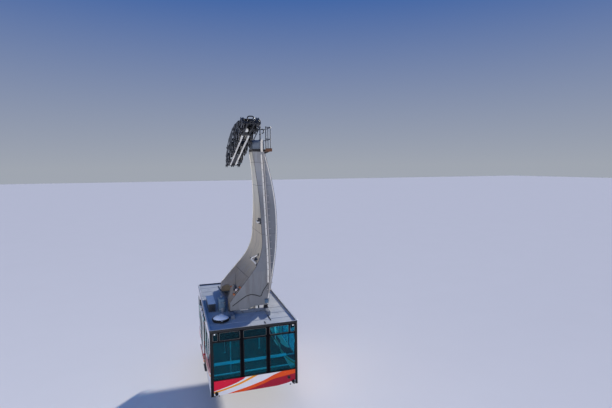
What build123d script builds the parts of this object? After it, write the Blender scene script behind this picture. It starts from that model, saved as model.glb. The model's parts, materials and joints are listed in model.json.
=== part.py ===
from build123d import *

import os
from math import cos, radians, sin

# Aerial cable car: a wheeled carriage on two track ropes, a curved box hanger beside it, and a cabin.
# Millimetres. The origin lies midway between the track ropes at the carriage's mid-length.
# +X is to the right, +Y runs down the line, +Z is up. The ropes slope down towards +Y.

# Line and fits
rope_slope = 16.7
rope_gauge = 620
rope_diameter = 50
shaft_clearance = 0.05
running_gap = 6
seat_gap = 0.3

# Track wheels
wheels_per_rope = 8
wheel_spacing = 720
wheel_tread_radius = 170
wheel_flange_radius = 212
wheel_width = 96
groove_base_width = 24
groove_mouth_width = 70
wheel_hub_radius = 78
wheel_web = 34
wheel_rim_depth = 68
wheel_axle_radius = 32

# Plate stacks of the carriage, from the wheel outwards
rocker_gap = 12
rocker_plate = 14
plate_gap = 8
bogie_plate = 16
main_plate = 20
pin_radius = 40
pin_proud = 10
pivot_boss_radius = 72
pivot_crown_radius = 80

# Wheel rockers and bogie beams
rocker_pivot_rise = 150
rocker_arch_radius = 150
rocker_arch_drop = 95
bogie_pivot_rise = 160
bogie_hole_place = 346
bogie_hole_rise = 62
bogie_hole_radius = 40

# Main beams
main_beam_rise = 190
main_crown_half = 300
main_belly_half = 470
main_corner = 45
main_slot_place = 820
main_slot_rise = 10
main_slot_length = 420
main_slot_width = 120
cross_tube_width = 120
cross_tube_height = 90
cross_tube_place = 640
cross_tube_lift = 20

# Main axle
pivot_height = 190
main_axle_radius = 75
main_boss_radius = 150
main_sleeve_radius = 110
axle_cap_radius = 120
axle_cap_thickness = 24

# Rope brakes
rail_offset = 135
rail_width = 60
rail_height = 70
rail_base = 30
rail_hanger_width = 120
brake_bar_place = 940
brake_bar_width = 80
jaw_length = 220
jaw_thickness = 28
jaw_gap = 4
jaw_arm_height = 50

# End frames, haul rope sockets and lamp
end_bar_depth = 80
end_wheel_gap = 30
guide_length = 180
guide_wall = 24
arch_rise = 250
arch_lean = 50
arch_bend = 90
arch_tube_radius = 24
socket_pin_radius = 30
socket_fork_gap = 70
socket_ear = 28
socket_ear_radius = 62
socket_reach = 150
lamp_place = -1600
lamp_block = (250, 200, 240)
lamp_corner = 40
lamp_radius = 110
lamp_lens_depth = 40

# Cabin body
cabin_width = 3520
cabin_length = 6800
cabin_offset = -130
wall_thickness = 60
post_width = 120
post_round = 55
roof_thickness = 60
roof_rim_height = 45
roof_rim_width = 40
header_depth = 450
transom_top = 90
transom_bottom = 400
corner_transom = 190
transom_post = 60
sill_depth = 2000
sill_rail = 40
floor_depth = 2400
floor_thickness = 60
mullion_width = 140
middle_window = 910
window_corner = 45
pane_thickness = 12
side_window_top = 480
side_window_bottom = 1560
side_window_columns = 2
side_window_post = 130

# Doors
doorway_width = 1400
doorway_top = 330
door_thickness = 40
door_overlap = 45
door_stile = 90
door_travel = 690
door_window_bottom = 1750
door_hanger_rise = 60
door_hook_length = 360
door_hook_thickness = 14
rail_lip = 34
rail_plate = 8
rail_lip_thickness = 12
rail_plate_drop = 50
rail_plate_rise = 40
rail_end_margin = 30
sill_rail_drop = 40
sill_rail_height = 80

# Interior
handrail_radius = 20
handrail_height = 1000
lower_rail_height = 560
handrail_standoff = 110
handrail_stand = 24
handrail_end = 40
stanchion_rows = (-2150, 0, 2150)
stanchion_offset = 820

# Underframe
sole_bar_width = 90
sole_bar_height = 120
sole_bar_offset = 1150
cross_bar_count = 5
cross_bar_inset = 500
bumper_radius = 62
bumper_length = 70
bumper_inset = 90
guide_shoe_drop = 45
guide_shoe_margin = 10

# Roof equipment. An inset is the distance of its middle from the near end of the roof
hatch_inset = 1120
hatch_gap = 80
hatch_opening_radius = 300
hatch_ring_wall = 28
hatch_ring_height = 70
hatch_lid_radius = 345
hatch_lid_edge = 26
hatch_lid_rise = 150
hatch_dome_bite = 1
hatch_hinge_offset = 32
hatch_knuckle = 60
hatch_lug = 14
hatch_strap = 30
hatch_hinge_radius = 11
vent_inset = 2940
vent_edge_inset = 320
vent_size = (300, 1280, 350)
vent_lid = 12
vent_eave = 15
vent_slot_count = 5
vent_slot_depth = 22
vent_slot_height = 26
vent_slot_margin = 45
tank_inset = 2340
tank_size = (290, 480, 600)
tank_corner = 90
tank_crown = 45
tank_cap_radius = 55
tank_cap_height = 30

# Hanger outline. Edge tables have the columns x (or half depth) and height above the roof
hanger_top = 6980
hanger_foot = 170
hanger_toe_height = 511
hanger_heel_height = 280
hanger_top_left = 585
hanger_top_right = 1130
hanger_left_edge = ((795, 4900), (805, 3300), (640, 2300), (275, 1700))
hanger_right_edge = ((1545, 4250), (1215, 1740))
hanger_toe = -750
hanger_heel = 915
hanger_step = (30, 340)
hanger_top_half = 400
hanger_foot_half = 1720
hanger_side_edge = ((1550, 1730), (1010, 3800), (465, 6100))
arch_half_width = 1350
arch_height = 620

# Hanger head with its bearing, and the davit post on it
axle_rise = 352
head_collar = 120
head_height = 380
head_span = (610, 1130)
head_half_depth = 400
head_round = 120
collar_lip = 30
collar_lip_right = 10
bearing_ring_radius = 190
bearing_ring_depth = 22
davit_radius = 32
davit_height = 960
davit_place = 1040

# Hanger feet and roof beams
foot_width = 150
toe_inset = 50
heel_inset = 95
roof_beam_width = 140
roof_beam_height = 150
roof_beam_overhang = 640

# Ladder, duct and cable on the near face of the hanger. A line's columns are x and height above the roof
ladder_line = ((1085, 6850), (1116, 6000), (1110, 4200), (1095, 2500), (1045, 1330), (980, 780))
ladder_rail_width = 45
ladder_rail_depth = 95
rung_span = 230
rung_spacing = 290
rung_size = 22
rung_gap = 58
duct_line = ((995, 6850), (1026, 6000), (1020, 4200), (1005, 2500), (957, 1240))
duct_width = 60
duct_depth = 45
cable_radius = 14
cable_gap = 1
cable_route = (
    (957, 1200), (720, 900), (610, 640), (410, 725), (190, 785), (-40, 730), (-310, 570), (-640, 360),
)
cable_bend = 90

# Access platform
platform_reach = 310
platform_half_length = 650
platform_floor = 30
toe_board = 100
toe_wall = 8
gusset_place = 300
gusset_height = 110
gusset_inset = 40
gusset_thickness = 16
railing_inset = 40
railing_height = 1050
railing_radius = 17
railing_bend = 80
railing_post_inset = 120

# Places worked out from the sizes above
wheel_height = rope_diameter / 2 + wheel_tread_radius
rocker_pivot_height = wheel_height + rocker_pivot_rise
bogie_pivot_height = rocker_pivot_height + bogie_pivot_rise
rocker_inner = wheel_width / 2 + rocker_gap
rocker_outer = rocker_inner + rocker_plate
bogie_inner = rocker_outer + plate_gap
bogie_outer = bogie_inner + bogie_plate
main_inner = bogie_outer + plate_gap
main_outer = main_inner + main_plate
carriage_half_width = rope_gauge / 2 + main_outer
rocker_half = wheel_spacing / 2
bogie_half = wheel_spacing
main_half = 2 * wheel_spacing
rocker_count = wheels_per_rope // 2
bogie_count = rocker_count // 2
rail_reach = (wheels_per_rope - 1) / 2 * wheel_spacing + wheel_flange_radius + end_wheel_gap
rail_top = rail_base + rail_height
tube_base = bogie_pivot_height + pivot_boss_radius + cross_tube_lift
pivot_y = pivot_height * sin(radians(rope_slope))
pivot_z = pivot_height * cos(radians(rope_slope))
roof_drop = hanger_top + axle_rise - pivot_z
rope_sides = (("left", -rope_gauge / 2), ("right", rope_gauge / 2))
half_width = cabin_width / 2
half_length = cabin_length / 2
wall_top = -roof_thickness
cabin_height = floor_depth + floor_thickness + sole_bar_height
outer_window = (cabin_width - 2 * post_width - 2 * mullion_width - middle_window) / 2
door_top = -doorway_top + door_overlap
door_bottom = -floor_depth - door_overlap
door_rail_top = door_top + door_hanger_rise
foot_columns = (hanger_toe + toe_inset, hanger_heel - heel_inset)
foot_row = hanger_foot_half - foot_width / 2
left_beam_edge = foot_columns[0] - roof_beam_width / 2
vent_x = vent_edge_inset - half_width
tank_x = (vent_x + vent_size[0] / 2 + vent_eave + left_beam_edge) / 2
hatch_x = left_beam_edge - hatch_gap - hatch_lid_radius
hatch_y = hatch_inset - half_length
hatch_hinge_y = hatch_y - hatch_lid_radius - hatch_hinge_offset
hatch_hinge_z = hatch_ring_height + seat_gap + hatch_lid_edge / 2
head_base = hanger_top + head_collar
head_top = head_base + head_height
head_right = head_span[1] + collar_lip_right
platform_top = hanger_top + platform_floor


def block(x0, x1, y0, y1, z0, z1):
    return Pos(x0, y0, z0) * Box(x1 - x0, y1 - y0, z1 - z0, align=(Align.MIN, Align.MIN, Align.MIN))


def along_x(sketch, x0, x1):
    return Pos(x0, 0, 0) * extrude(Plane.YZ * sketch, amount=x1 - x0)


def along_y(sketch, y0, y1):
    return Pos(0, y0, 0) * extrude(Plane.XZ * sketch, amount=-(y1 - y0))


def rod_x(radius, x0, x1, y, z):
    return along_x(Pos(y, z) * Circle(radius), x0, x1)


def rod_y(radius, y0, y1, x, z):
    return along_y(Pos(x, z) * Circle(radius), y0, y1)


def rod_z(radius, x, y, z0, z1):
    return Pos(x, y, z0) * extrude(Circle(radius), amount=z1 - z0)


def tube_along(path, radius):
    start = Plane(origin=path @ 0, z_dir=path % 0)
    return sweep(start * Circle(radius), path=path)


def hull_of(circles):
    # circles: rows of along, up, radius
    rings = [Pos(along, up) * Circle(radius) for along, up, radius in circles]
    return make_hull([edge for ring in rings for edge in ring.edges()])


def centres(count, spacing):
    return [(number - (count - 1) / 2) * spacing for number in range(count)]


def mirrored(points):
    return [(-along, up) for along, up in reversed(points)]


def join(shapes):
    return shapes[0].fuse(*shapes[1:])


def on_rope(shape):
    return Rot(-rope_slope, 0, 0) * shape


def on_cabin(shape):
    return Pos(cabin_offset, pivot_y, -roof_drop) * shape


def save(name, *shapes):
    node = Compound(children=[solid for shape in shapes for solid in shape.solids()])
    export_step(node, f"parts/{name}.step")


# Carriage, built level with the ropes along Y, then laid on their slope


def track_wheel(x, y):
    side = wheel_width / 2
    mouth = groove_mouth_width / 2
    base = groove_base_width / 2
    web = wheel_web / 2
    bore = wheel_axle_radius + shaft_clearance
    rim = wheel_flange_radius - wheel_rim_depth
    # columns: across the wheel, radius; from the bore out to the bottom of the rope groove
    right = [
        (side, bore),
        (side, wheel_hub_radius),
        (web, wheel_hub_radius),
        (web, rim),
        (side, rim),
        (side, wheel_flange_radius),
        (mouth, wheel_flange_radius),
        (base, wheel_tread_radius),
    ]
    face = make_face(Polyline(*right, *mirrored(right), close=True))
    return Pos(x, y, wheel_height) * revolve(face, axis=Axis.X, revolution_arc=360)


def plate_pair(sketch, x, inner, outer):
    return along_x(sketch, x - outer, x - inner) + along_x(sketch, x + inner, x + outer)


def wheel_rocker(x, y):
    outline = hull_of([
        (y - rocker_half, wheel_height, pivot_boss_radius),
        (y + rocker_half, wheel_height, pivot_boss_radius),
        (y, rocker_pivot_height, pivot_crown_radius),
    ])
    outline -= Pos(y, wheel_height - rocker_arch_drop) * Circle(rocker_arch_radius)
    rocker = plate_pair(outline, x, rocker_inner, rocker_outer)
    rocker += rod_x(pivot_boss_radius, x - rocker_inner, x + rocker_inner, y, rocker_pivot_height)
    for wheel_y in (y - rocker_half, y + rocker_half):
        rocker += rod_x(wheel_axle_radius, x - rocker_inner, x + rocker_inner, wheel_y, wheel_height)
    bore = pin_radius + shaft_clearance
    return rocker - rod_x(bore, x - bogie_outer, x + bogie_outer, y, rocker_pivot_height)


def bogie_beam(x, y):
    outline = hull_of([
        (y - bogie_half, rocker_pivot_height, pivot_boss_radius),
        (y + bogie_half, rocker_pivot_height, pivot_boss_radius),
        (y, bogie_pivot_height, pivot_crown_radius),
    ])
    for hole_y in (y - bogie_hole_place, y + bogie_hole_place):
        outline -= Pos(hole_y, rocker_pivot_height + bogie_hole_rise) * Circle(bogie_hole_radius)
    beam = plate_pair(outline, x, bogie_inner, bogie_outer)
    beam += rod_x(pivot_boss_radius, x - bogie_inner, x + bogie_inner, y, bogie_pivot_height)
    for pin_y in (y - bogie_half, y + bogie_half):
        beam += rod_x(pin_radius, x - bogie_inner, x + bogie_inner, pin_y, rocker_pivot_height)
    return beam - rod_x(pin_radius + shaft_clearance, x - main_outer, x + main_outer, y, bogie_pivot_height)


def main_outline():
    # columns: along the rope, height; half of the outline, from the crown down to the axle boss
    half = [
        (main_crown_half, bogie_pivot_height + main_beam_rise),
        (main_half, bogie_pivot_height + pivot_boss_radius),
        (main_half + pivot_boss_radius, bogie_pivot_height),
        (main_half, bogie_pivot_height - pivot_boss_radius),
        (main_belly_half, bogie_pivot_height - 2 * pivot_boss_radius),
        (main_boss_radius, pivot_height - main_boss_radius),
    ]
    outline = make_face(Polyline(*half, *mirrored(half), close=True))
    outline = fillet(outline.vertices(), radius=main_corner)
    for place in (-main_slot_place, main_slot_place):
        slot = SlotCenterToCenter(main_slot_length, main_slot_width)
        outline -= Pos(place, bogie_pivot_height + main_slot_rise) * slot
    return outline


def main_beams():
    outline = main_outline()
    beams = plate_pair(outline, -rope_gauge / 2, main_inner, main_outer)
    beams += plate_pair(outline, rope_gauge / 2, main_inner, main_outer)
    half = cross_tube_width / 2
    for y in (-cross_tube_place, cross_tube_place):
        beams += block(
            -carriage_half_width, carriage_half_width, y - half, y + half,
            tube_base, tube_base + cross_tube_height,
        )
    pin_reach = main_outer + pin_proud
    for _, x in rope_sides:
        beams += rod_x(main_sleeve_radius, x - main_outer, x + main_outer, 0, pivot_height)
        for y in (-main_half, main_half):
            beams += rod_x(pin_radius, x - pin_reach, x + pin_reach, y, bogie_pivot_height)
    bore = main_axle_radius + shaft_clearance
    return beams - rod_x(bore, -2 * carriage_half_width, 2 * carriage_half_width, 0, pivot_height)


def main_axle():
    left_end = -carriage_half_width - seat_gap
    right_end = head_span[1] + cabin_offset + bearing_ring_depth + running_gap
    axle = rod_x(main_axle_radius, left_end, right_end, 0, pivot_height)
    axle += rod_x(axle_cap_radius, left_end - axle_cap_thickness, left_end, 0, pivot_height)
    return axle + rod_x(axle_cap_radius, right_end, right_end + axle_cap_thickness, 0, pivot_height)


def rope_brakes():
    pieces = []
    strap = rail_hanger_width / 2
    bar = brake_bar_width / 2
    for side in (-1, 1):
        low, high = sorted((side * (rail_offset - rail_width / 2), side * (rail_offset + rail_width / 2)))
        pieces.append(block(low, high, -rail_reach, rail_reach, rail_base, rail_top))
        for y in (-cross_tube_place, cross_tube_place):
            pieces.append(block(low, high, y - strap, y + strap, rail_top, tube_base))
    for y in (-brake_bar_place, brake_bar_place):
        pieces.append(block(-rail_offset, rail_offset, y - bar, y + bar, rail_base, rail_top))
    return join(pieces)


def brake_jaw(side, y):
    # An arm from the rail's side over the rope, with a cheek down each side of it
    rope_x = side * rope_gauge / 2
    groove = rope_diameter / 2 + jaw_gap
    half = jaw_length / 2
    root = side * (rail_offset + rail_width / 2)
    low, high = sorted((root, rope_x + side * (groove + jaw_thickness)))
    jaw = block(low, high, y - half, y + half, groove, groove + jaw_arm_height)
    for inner, outer in ((-groove - jaw_thickness, -groove), (groove, groove + jaw_thickness)):
        jaw += block(rope_x + inner, rope_x + outer, y - half, y + half, -rope_diameter / 2, groove)
    return jaw


def rope_brake_jaws():
    places = (-3 * wheel_spacing, -wheel_spacing, wheel_spacing, 3 * wheel_spacing)
    return [brake_jaw(side, y) for side in (-1, 1) for y in places]


def end_frame(direction):
    reach = direction * rail_reach
    bar = sorted((reach, reach + direction * end_bar_depth))
    guide = sorted((reach, reach + direction * guide_length))
    frame = block(-rope_gauge / 2, rope_gauge / 2, bar[0], bar[1], rail_base, rail_top)
    mouth = rope_diameter / 2 + jaw_gap
    wall = mouth + guide_wall
    for _, x in rope_sides:
        outline = Circle(wall) + Rectangle(2 * wall, rail_top, align=(Align.CENTER, Align.MIN))
        cut = Circle(mouth) + Rectangle(2 * mouth, 2 * wall, align=(Align.CENTER, Align.MAX))
        frame += along_y(Pos(x, 0) * outline, guide[0], guide[1])
        frame -= along_y(Pos(x, 0) * cut, guide[0], guide[1])
    foot = rail_offset + rail_width / 2
    crown = foot - arch_lean
    path = Plane.XZ * FilletPolyline(
        (-foot, rail_top), (-crown, rail_top + arch_rise),
        (crown, rail_top + arch_rise), (foot, rail_top), radius=arch_bend,
    )
    return frame + Pos(0, (bar[0] + bar[1]) / 2, 0) * tube_along(path, arch_tube_radius)


def haul_rope_socket(direction):
    root = direction * (rail_reach + end_bar_depth)
    pin_y = root + direction * socket_reach
    height = rail_base + rail_height / 2
    gap = socket_fork_gap / 2
    width = gap + socket_ear
    stem = sorted((root, pin_y))
    back = sorted((root, root + direction * socket_ear))
    pieces = [block(-width, width, back[0], back[1], rail_base, rail_top)]
    for low, high in ((-width, -gap), (gap, width)):
        pieces.append(rod_x(socket_ear_radius, low, high, pin_y, height))
        pieces.append(block(low, high, stem[0], stem[1], rail_base, rail_top))
    return join(pieces) - rod_x(socket_pin_radius, -2 * width, 2 * width, pin_y, height)


def carriage_lamp():
    width, depth, height = lamp_block
    body = block(-width / 2, width / 2, lamp_place, lamp_place + depth, rail_top, rail_top + height)
    body = fillet(body.edges().filter_by(Axis.Y).sort_by(Axis.Z)[-2:], radius=lamp_corner)
    return body + rod_y(lamp_radius, lamp_place - lamp_lens_depth, lamp_place, 0, rail_top + height / 2)


# Hanger, built about the middle of the roof, then hung below the main axle


def hanger_front():
    # The curved outline seen along the line
    bulge, waist, throat, shoulder = hanger_left_edge
    belly, hip = hanger_right_edge
    top_left = (hanger_top_left, hanger_top)
    top_right = (hanger_top_right, hanger_top)
    return make_face([
        ThreePointArc(top_left, bulge, waist),
        ThreePointArc(waist, throat, shoulder),
        Polyline(
            shoulder, (hanger_toe, hanger_toe_height), (hanger_toe, hanger_foot),
            (hanger_step[0], hanger_foot), (hanger_step[1], hanger_heel_height),
            (hanger_heel, hanger_heel_height), hip,
        ),
        ThreePointArc(hip, belly, top_right),
        Line(top_right, top_left),
    ])


def hanger_side(growth):
    # The A-shaped outline seen across the line, its near and far faces moved outwards by growth
    edge = [(half + growth, height) for half, height in hanger_side_edge]
    foot = (hanger_foot_half + growth, hanger_foot)
    top = (hanger_top_half + growth, hanger_top)
    hip, flank, neck = edge
    far_neck, far_flank, far_hip = mirrored(edge)
    return make_face([
        Polyline(far_hip, *mirrored([foot]), foot, hip),
        ThreePointArc(hip, flank, neck),
        Polyline(neck, top, *mirrored([top]), far_neck),
        ThreePointArc(far_neck, far_flank, far_hip),
    ])


def hanger_arm():
    arm = along_y(hanger_front(), -hanger_foot_half, hanger_foot_half)
    arm &= along_x(hanger_side(0), hanger_toe, hanger_right_edge[0][0])
    arch_radius = (arch_half_width ** 2 + arch_height ** 2) / (2 * arch_height)
    arch_centre = hanger_foot + arch_height - arch_radius
    return arm - rod_x(arch_radius, hanger_toe, hanger_right_edge[0][0], 0, arch_centre)


def hanger_head():
    left, right = head_span
    axle_z = roof_drop + pivot_z
    depth = head_half_depth + collar_lip
    head = block(left, right, -head_half_depth, head_half_depth, head_base, head_top)
    head = fillet(head.edges().filter_by(Axis.X).sort_by(Axis.Z)[-2:], radius=head_round)
    collar = block(left - collar_lip, head_right, -depth, depth, hanger_top, head_base)
    ring = rod_x(bearing_ring_radius, left - bearing_ring_depth, right + bearing_ring_depth, 0, axle_z)
    davit = rod_z(davit_radius, davit_place, 0, head_top, head_top + davit_height)
    bore = rod_x(main_axle_radius + shaft_clearance, hanger_toe, 2 * right, 0, axle_z)
    return head + collar + ring + davit - bore


def hanger_feet():
    half = foot_width / 2
    return [
        block(x - half, x + half, y - half, y + half, roof_beam_height, top)
        for x, top in zip(foot_columns, (hanger_foot, hanger_heel_height)) for y in (-foot_row, foot_row)
    ]


def roof_beams():
    half = roof_beam_width / 2
    reach = foot_row + roof_beam_overhang
    left, right = foot_columns
    pieces = [block(x - half, x + half, -reach, reach, 0, roof_beam_height) for x in foot_columns]
    pieces += [block(left, right, y - half, y + half, 0, roof_beam_height) for y in (-foot_row, foot_row)]
    return join(pieces)


def access_platform():
    outer = head_right + platform_reach
    half = platform_half_length
    board_top = platform_top + toe_board
    pieces = [
        block(head_right, outer, -half, half, hanger_top, platform_top),
        block(outer - toe_wall, outer, -half, half, platform_top, board_top),
        block(head_right, outer, -half, toe_wall - half, platform_top, board_top),
        block(head_right, outer, half - toe_wall, half, platform_top, board_top),
    ]
    root = head_right + gusset_inset
    gusset = make_face(Polyline(
        (root, hanger_top), (outer - railing_inset, hanger_top), (root, hanger_top - gusset_height),
        close=True,
    ))
    for y in (-gusset_place, gusset_place):
        pieces.append(along_y(gusset, y - gusset_thickness / 2, y + gusset_thickness / 2))
    return join(pieces)


def platform_railing():
    inner = head_right + railing_inset
    outer = head_right + platform_reach - railing_inset
    half = platform_half_length - railing_inset
    top = platform_top + railing_height
    pieces = []
    for height in (top, platform_top + railing_height / 2):
        path = FilletPolyline(
            (inner, -half, height), (outer, -half, height), (outer, half, height), (inner, half, height),
            radius=railing_bend,
        )
        pieces.append(tube_along(path, railing_radius))
    corner = half - railing_post_inset
    for x, y in ((inner, -half), (inner, half), (outer, -corner), (outer, 0), (outer, corner)):
        pieces.append(rod_z(railing_radius, x, y, platform_top, top))
    return join(pieces)


def band_along(line, width):
    # A band of even width along a line of the near face
    left = [(x - width / 2, height) for x, height in line]
    right = [(x + width / 2, height) for x, height in reversed(line)]
    return make_face(Polyline(*left, *right, close=True))


def near_skin(inner, outer):
    # The layer in front of the hanger's near face, between two distances from it
    left, right = hanger_toe, hanger_right_edge[0][0]
    layer = along_x(hanger_side(outer), left, right) - along_x(hanger_side(inner), left, right)
    return layer & block(left, right, -2 * hanger_foot_half, 0, 0, hanger_top)


def across_near_face(sketch):
    return along_y(sketch, -2 * hanger_foot_half, 0)


def hanger_ladder():
    # One rail on the near face, with rungs that pass through it and stand out on both sides
    top, foot = ladder_line[0][1], ladder_line[-1][1]
    rungs = across_near_face(band_along(ladder_line, rung_span)) & near_skin(rung_gap, rung_gap + rung_size)
    pieces = [across_near_face(band_along(ladder_line, ladder_rail_width)) & near_skin(0, ladder_rail_depth)]
    for number in range(int((top - foot) / rung_spacing)):
        low = foot + (number + 0.5) * rung_spacing
        level = block(hanger_toe, 2 * head_right, -2 * hanger_foot_half, 0, low, low + rung_size)
        pieces.append(rungs & level)
    return join(pieces)


def cable_duct():
    return across_near_face(band_along(duct_line, duct_width)) & near_skin(0, duct_depth)


def power_cable():
    # The route's columns are x and height above the roof; it lies on the near face of the hanger
    hip, hip_height = hanger_side_edge[0]
    lean = (hanger_foot_half - hip) / (hip_height - hanger_foot)
    points = []
    for x, height in cable_route:
        face = hip + lean * (hip_height - height)
        points.append((x, -face - cable_radius - cable_gap, height))
    return tube_along(FilletPolyline(*points, radius=cable_bend), cable_radius)


# Cabin, built about the middle of the roof's top, with heights below it negative


def rounded_window(low, high, bottom, top):
    window = RectangleRounded(high - low, top - bottom, window_corner)
    return Pos((low + high) / 2, (bottom + top) / 2) * window


def roof_panel():
    inner = roof_rim_width
    roof = block(-half_width, half_width, -half_length, half_length, -roof_thickness, roof_rim_height)
    roof -= block(
        inner - half_width, half_width - inner, inner - half_length, half_length - inner, 0, roof_rim_height
    )
    roof = fillet(roof.edges().filter_by(Axis.Z).group_by(SortBy.LENGTH)[-1], radius=post_round)
    lug = hatch_knuckle / 2 + running_gap
    reach = 2 * hatch_hinge_radius
    pieces = [roof, rod_z(hatch_opening_radius + hatch_ring_wall, hatch_x, hatch_y, 0, hatch_ring_height)]
    for low in (-lug - hatch_lug, lug):
        pieces.append(block(
            hatch_x + low, hatch_x + low + hatch_lug,
            hatch_hinge_y - reach, hatch_hinge_y + reach, 0, hatch_hinge_z + reach,
        ))
    pieces.append(rod_x(hatch_hinge_radius, hatch_x - lug, hatch_x + lug, hatch_hinge_y, hatch_hinge_z))
    opening = rod_z(hatch_opening_radius, hatch_x, hatch_y, -2 * roof_thickness, 2 * hatch_ring_height)
    return join(pieces) - opening


def roof_hatch_lid():
    base = hatch_ring_height + seat_gap
    edge = base + hatch_lid_edge
    rise = hatch_lid_rise - hatch_lid_edge
    dome_radius = (hatch_lid_radius ** 2 + rise ** 2) / (2 * rise)
    dome = Pos(hatch_x, hatch_y, edge + rise - dome_radius) * Sphere(dome_radius)
    lid = rod_z(hatch_lid_radius, hatch_x, hatch_y, base, edge)
    lid += dome & rod_z(hatch_lid_radius, hatch_x, hatch_y, edge - hatch_dome_bite, edge + hatch_lid_rise)
    low, high = hatch_x - hatch_knuckle / 2, hatch_x + hatch_knuckle / 2
    lid += rod_x(2 * hatch_hinge_radius, low, high, hatch_hinge_y, hatch_hinge_z)
    lid += block(low, high, hatch_hinge_y, hatch_y - hatch_lid_radius + hatch_strap, base, edge)
    return lid - rod_x(hatch_hinge_radius + shaft_clearance, low, high, hatch_hinge_y, hatch_hinge_z)


def roof_vent_box():
    # A louvred box: slots through both ends and the side towards the roof's middle, under a lid with eaves
    width, length, height = vent_size
    body = Box(width, length, height - vent_lid, align=(Align.CENTER, Align.CENTER, Align.MIN))
    pitch = (height - vent_lid - 2 * vent_slot_margin) / vent_slot_count
    across = width - 2 * vent_slot_margin
    lengthways = length - 2 * vent_slot_margin
    end = length / 2 - vent_slot_depth / 2
    side = width / 2 - vent_slot_depth / 2
    for number in range(vent_slot_count):
        z = vent_slot_margin + (number + 0.5) * pitch
        for y in (-end, end):
            body -= Pos(0, y, z) * Box(across, vent_slot_depth, vent_slot_height)
        body -= Pos(side, 0, z) * Box(vent_slot_depth, lengthways, vent_slot_height)
    lid = Box(width + 2 * vent_eave, length + 2 * vent_eave, vent_lid)
    body += Pos(0, 0, height - vent_lid / 2) * lid
    return Pos(vent_x, vent_inset - half_length, 0) * body


def roof_tank():
    width, length, height = tank_size
    tank = Box(width, length, height, align=(Align.CENTER, Align.CENTER, Align.MIN))
    tank = fillet(tank.edges().filter_by(Axis.Z), radius=tank_corner)
    tank = fillet(tank.faces().sort_by(Axis.Z)[-1].edges(), radius=tank_crown)
    tank += rod_z(tank_cap_radius, 0, 0, height, height + tank_cap_height)
    return Pos(tank_x, tank_inset - half_length, 0) * tank


def corner_posts():
    posts = []
    for side in (-1, 1):
        for end in (-1, 1):
            x = sorted((side * half_width, side * (half_width - post_width)))
            y = sorted((end * half_length, end * (half_length - post_width)))
            post = block(x[0], x[1], y[0], y[1], -cabin_height, wall_top)
            edges = post.edges().filter_by(Axis.Z)
            corner = edges.sort_by(lambda edge: side * edge.center().X + end * edge.center().Y)[-1]
            posts.append(fillet(corner, radius=post_round))
    return posts


def end_windows():
    # Three low windows, and a row of five transoms with a small one at each corner
    middle = middle_window / 2
    inner = middle + mullion_width
    outer = inner + outer_window
    corner = outer - corner_transom
    windows = ((-outer, -inner), (-middle, middle), (inner, outer))
    transoms = (
        (-outer, -corner), (transom_post - corner, -inner), (-middle, middle),
        (inner, corner - transom_post), (corner, outer),
    )
    panes = [rounded_window(low, high, sill_rail - sill_depth, -header_depth) for low, high in windows]
    return panes + [rounded_window(low, high, -transom_bottom, -transom_top) for low, high in transoms]


def end_frame_panel(end):
    y = sorted((end * half_length, end * (half_length - wall_thickness)))
    x = half_width - post_width
    frame = block(-x, x, y[0], y[1], -sill_depth, wall_top)
    for window in end_windows():
        frame -= along_y(window, y[0], y[1])
    return frame


def end_glass():
    half = pane_thickness / 2
    rows = (wall_thickness / 2 - half_length, half_length - wall_thickness / 2)
    return [along_y(window, y - half, y + half) for y in rows for window in end_windows()]


def end_skirts():
    x = half_width - post_width
    inner = half_length - wall_thickness
    rows = ((-half_length, -inner), (inner, half_length))
    return [block(-x, x, near, far, -cabin_height, -sill_depth) for near, far in rows]


def side_windows():
    # The windows of one side, on both sides of the doorway
    windows = []
    start = doorway_width / 2 + side_window_post
    finish = half_length - post_width - side_window_post
    width = (finish - start - (side_window_columns - 1) * side_window_post) / side_window_columns
    for number in range(side_window_columns):
        low = start + number * (width + side_window_post)
        windows.append(rounded_window(low, low + width, -side_window_bottom, -side_window_top))
        windows.append(rounded_window(-low - width, -low, -side_window_bottom, -side_window_top))
    return windows


def side_frame(side):
    x = sorted((side * half_width, side * (half_width - wall_thickness)))
    y = half_length - post_width
    door = doorway_width / 2
    frame = block(x[0], x[1], -y, y, -sill_depth, wall_top)
    frame -= block(x[0], x[1], -door, door, -sill_depth, -doorway_top)
    for window in side_windows():
        frame -= along_x(window, x[0], x[1])
    return frame


def side_glass():
    half = pane_thickness / 2
    columns = (wall_thickness / 2 - half_width, half_width - wall_thickness / 2)
    return [along_x(window, x - half, x + half) for x in columns for window in side_windows()]


def side_skirts():
    skirts = []
    door = doorway_width / 2
    y = half_length - post_width
    for side in (-1, 1):
        x = sorted((side * half_width, side * (half_width - wall_thickness)))
        skirt = block(x[0], x[1], -y, y, -cabin_height, -sill_depth)
        skirts.append(skirt - block(x[0], x[1], -door, door, -floor_depth, -sill_depth))
    return skirts


def door_span(direction):
    return sorted((direction * running_gap / 2, direction * (doorway_width / 2 + door_overlap)))


def door_faces(side):
    inner = half_width + rail_plate + rail_lip + running_gap
    return sorted((side * inner, side * (inner + door_thickness)))


def door_window(direction):
    low, high = door_span(direction)
    return rounded_window(low + door_stile, high - door_stile, -door_window_bottom, -side_window_top)


def door_leaf(side, direction):
    # The leaf hangs from a hook that runs along the lip of the upper door rail
    x = door_faces(side)
    y = door_span(direction)
    hook_base = door_rail_top + seat_gap
    hook_root = side * (half_width + rail_plate + running_gap)
    hook = sorted((hook_root, x[1] if side > 0 else x[0]))
    low = (y[0] + y[1] - door_hook_length) / 2
    high = low + door_hook_length
    leaf = block(x[0], x[1], y[0], y[1], door_bottom, door_top)
    leaf -= along_x(door_window(direction), x[0], x[1])
    leaf += block(x[0], x[1], low, high, door_top, hook_base)
    return leaf + block(hook[0], hook[1], low, high, hook_base, hook_base + door_hook_thickness)


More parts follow.
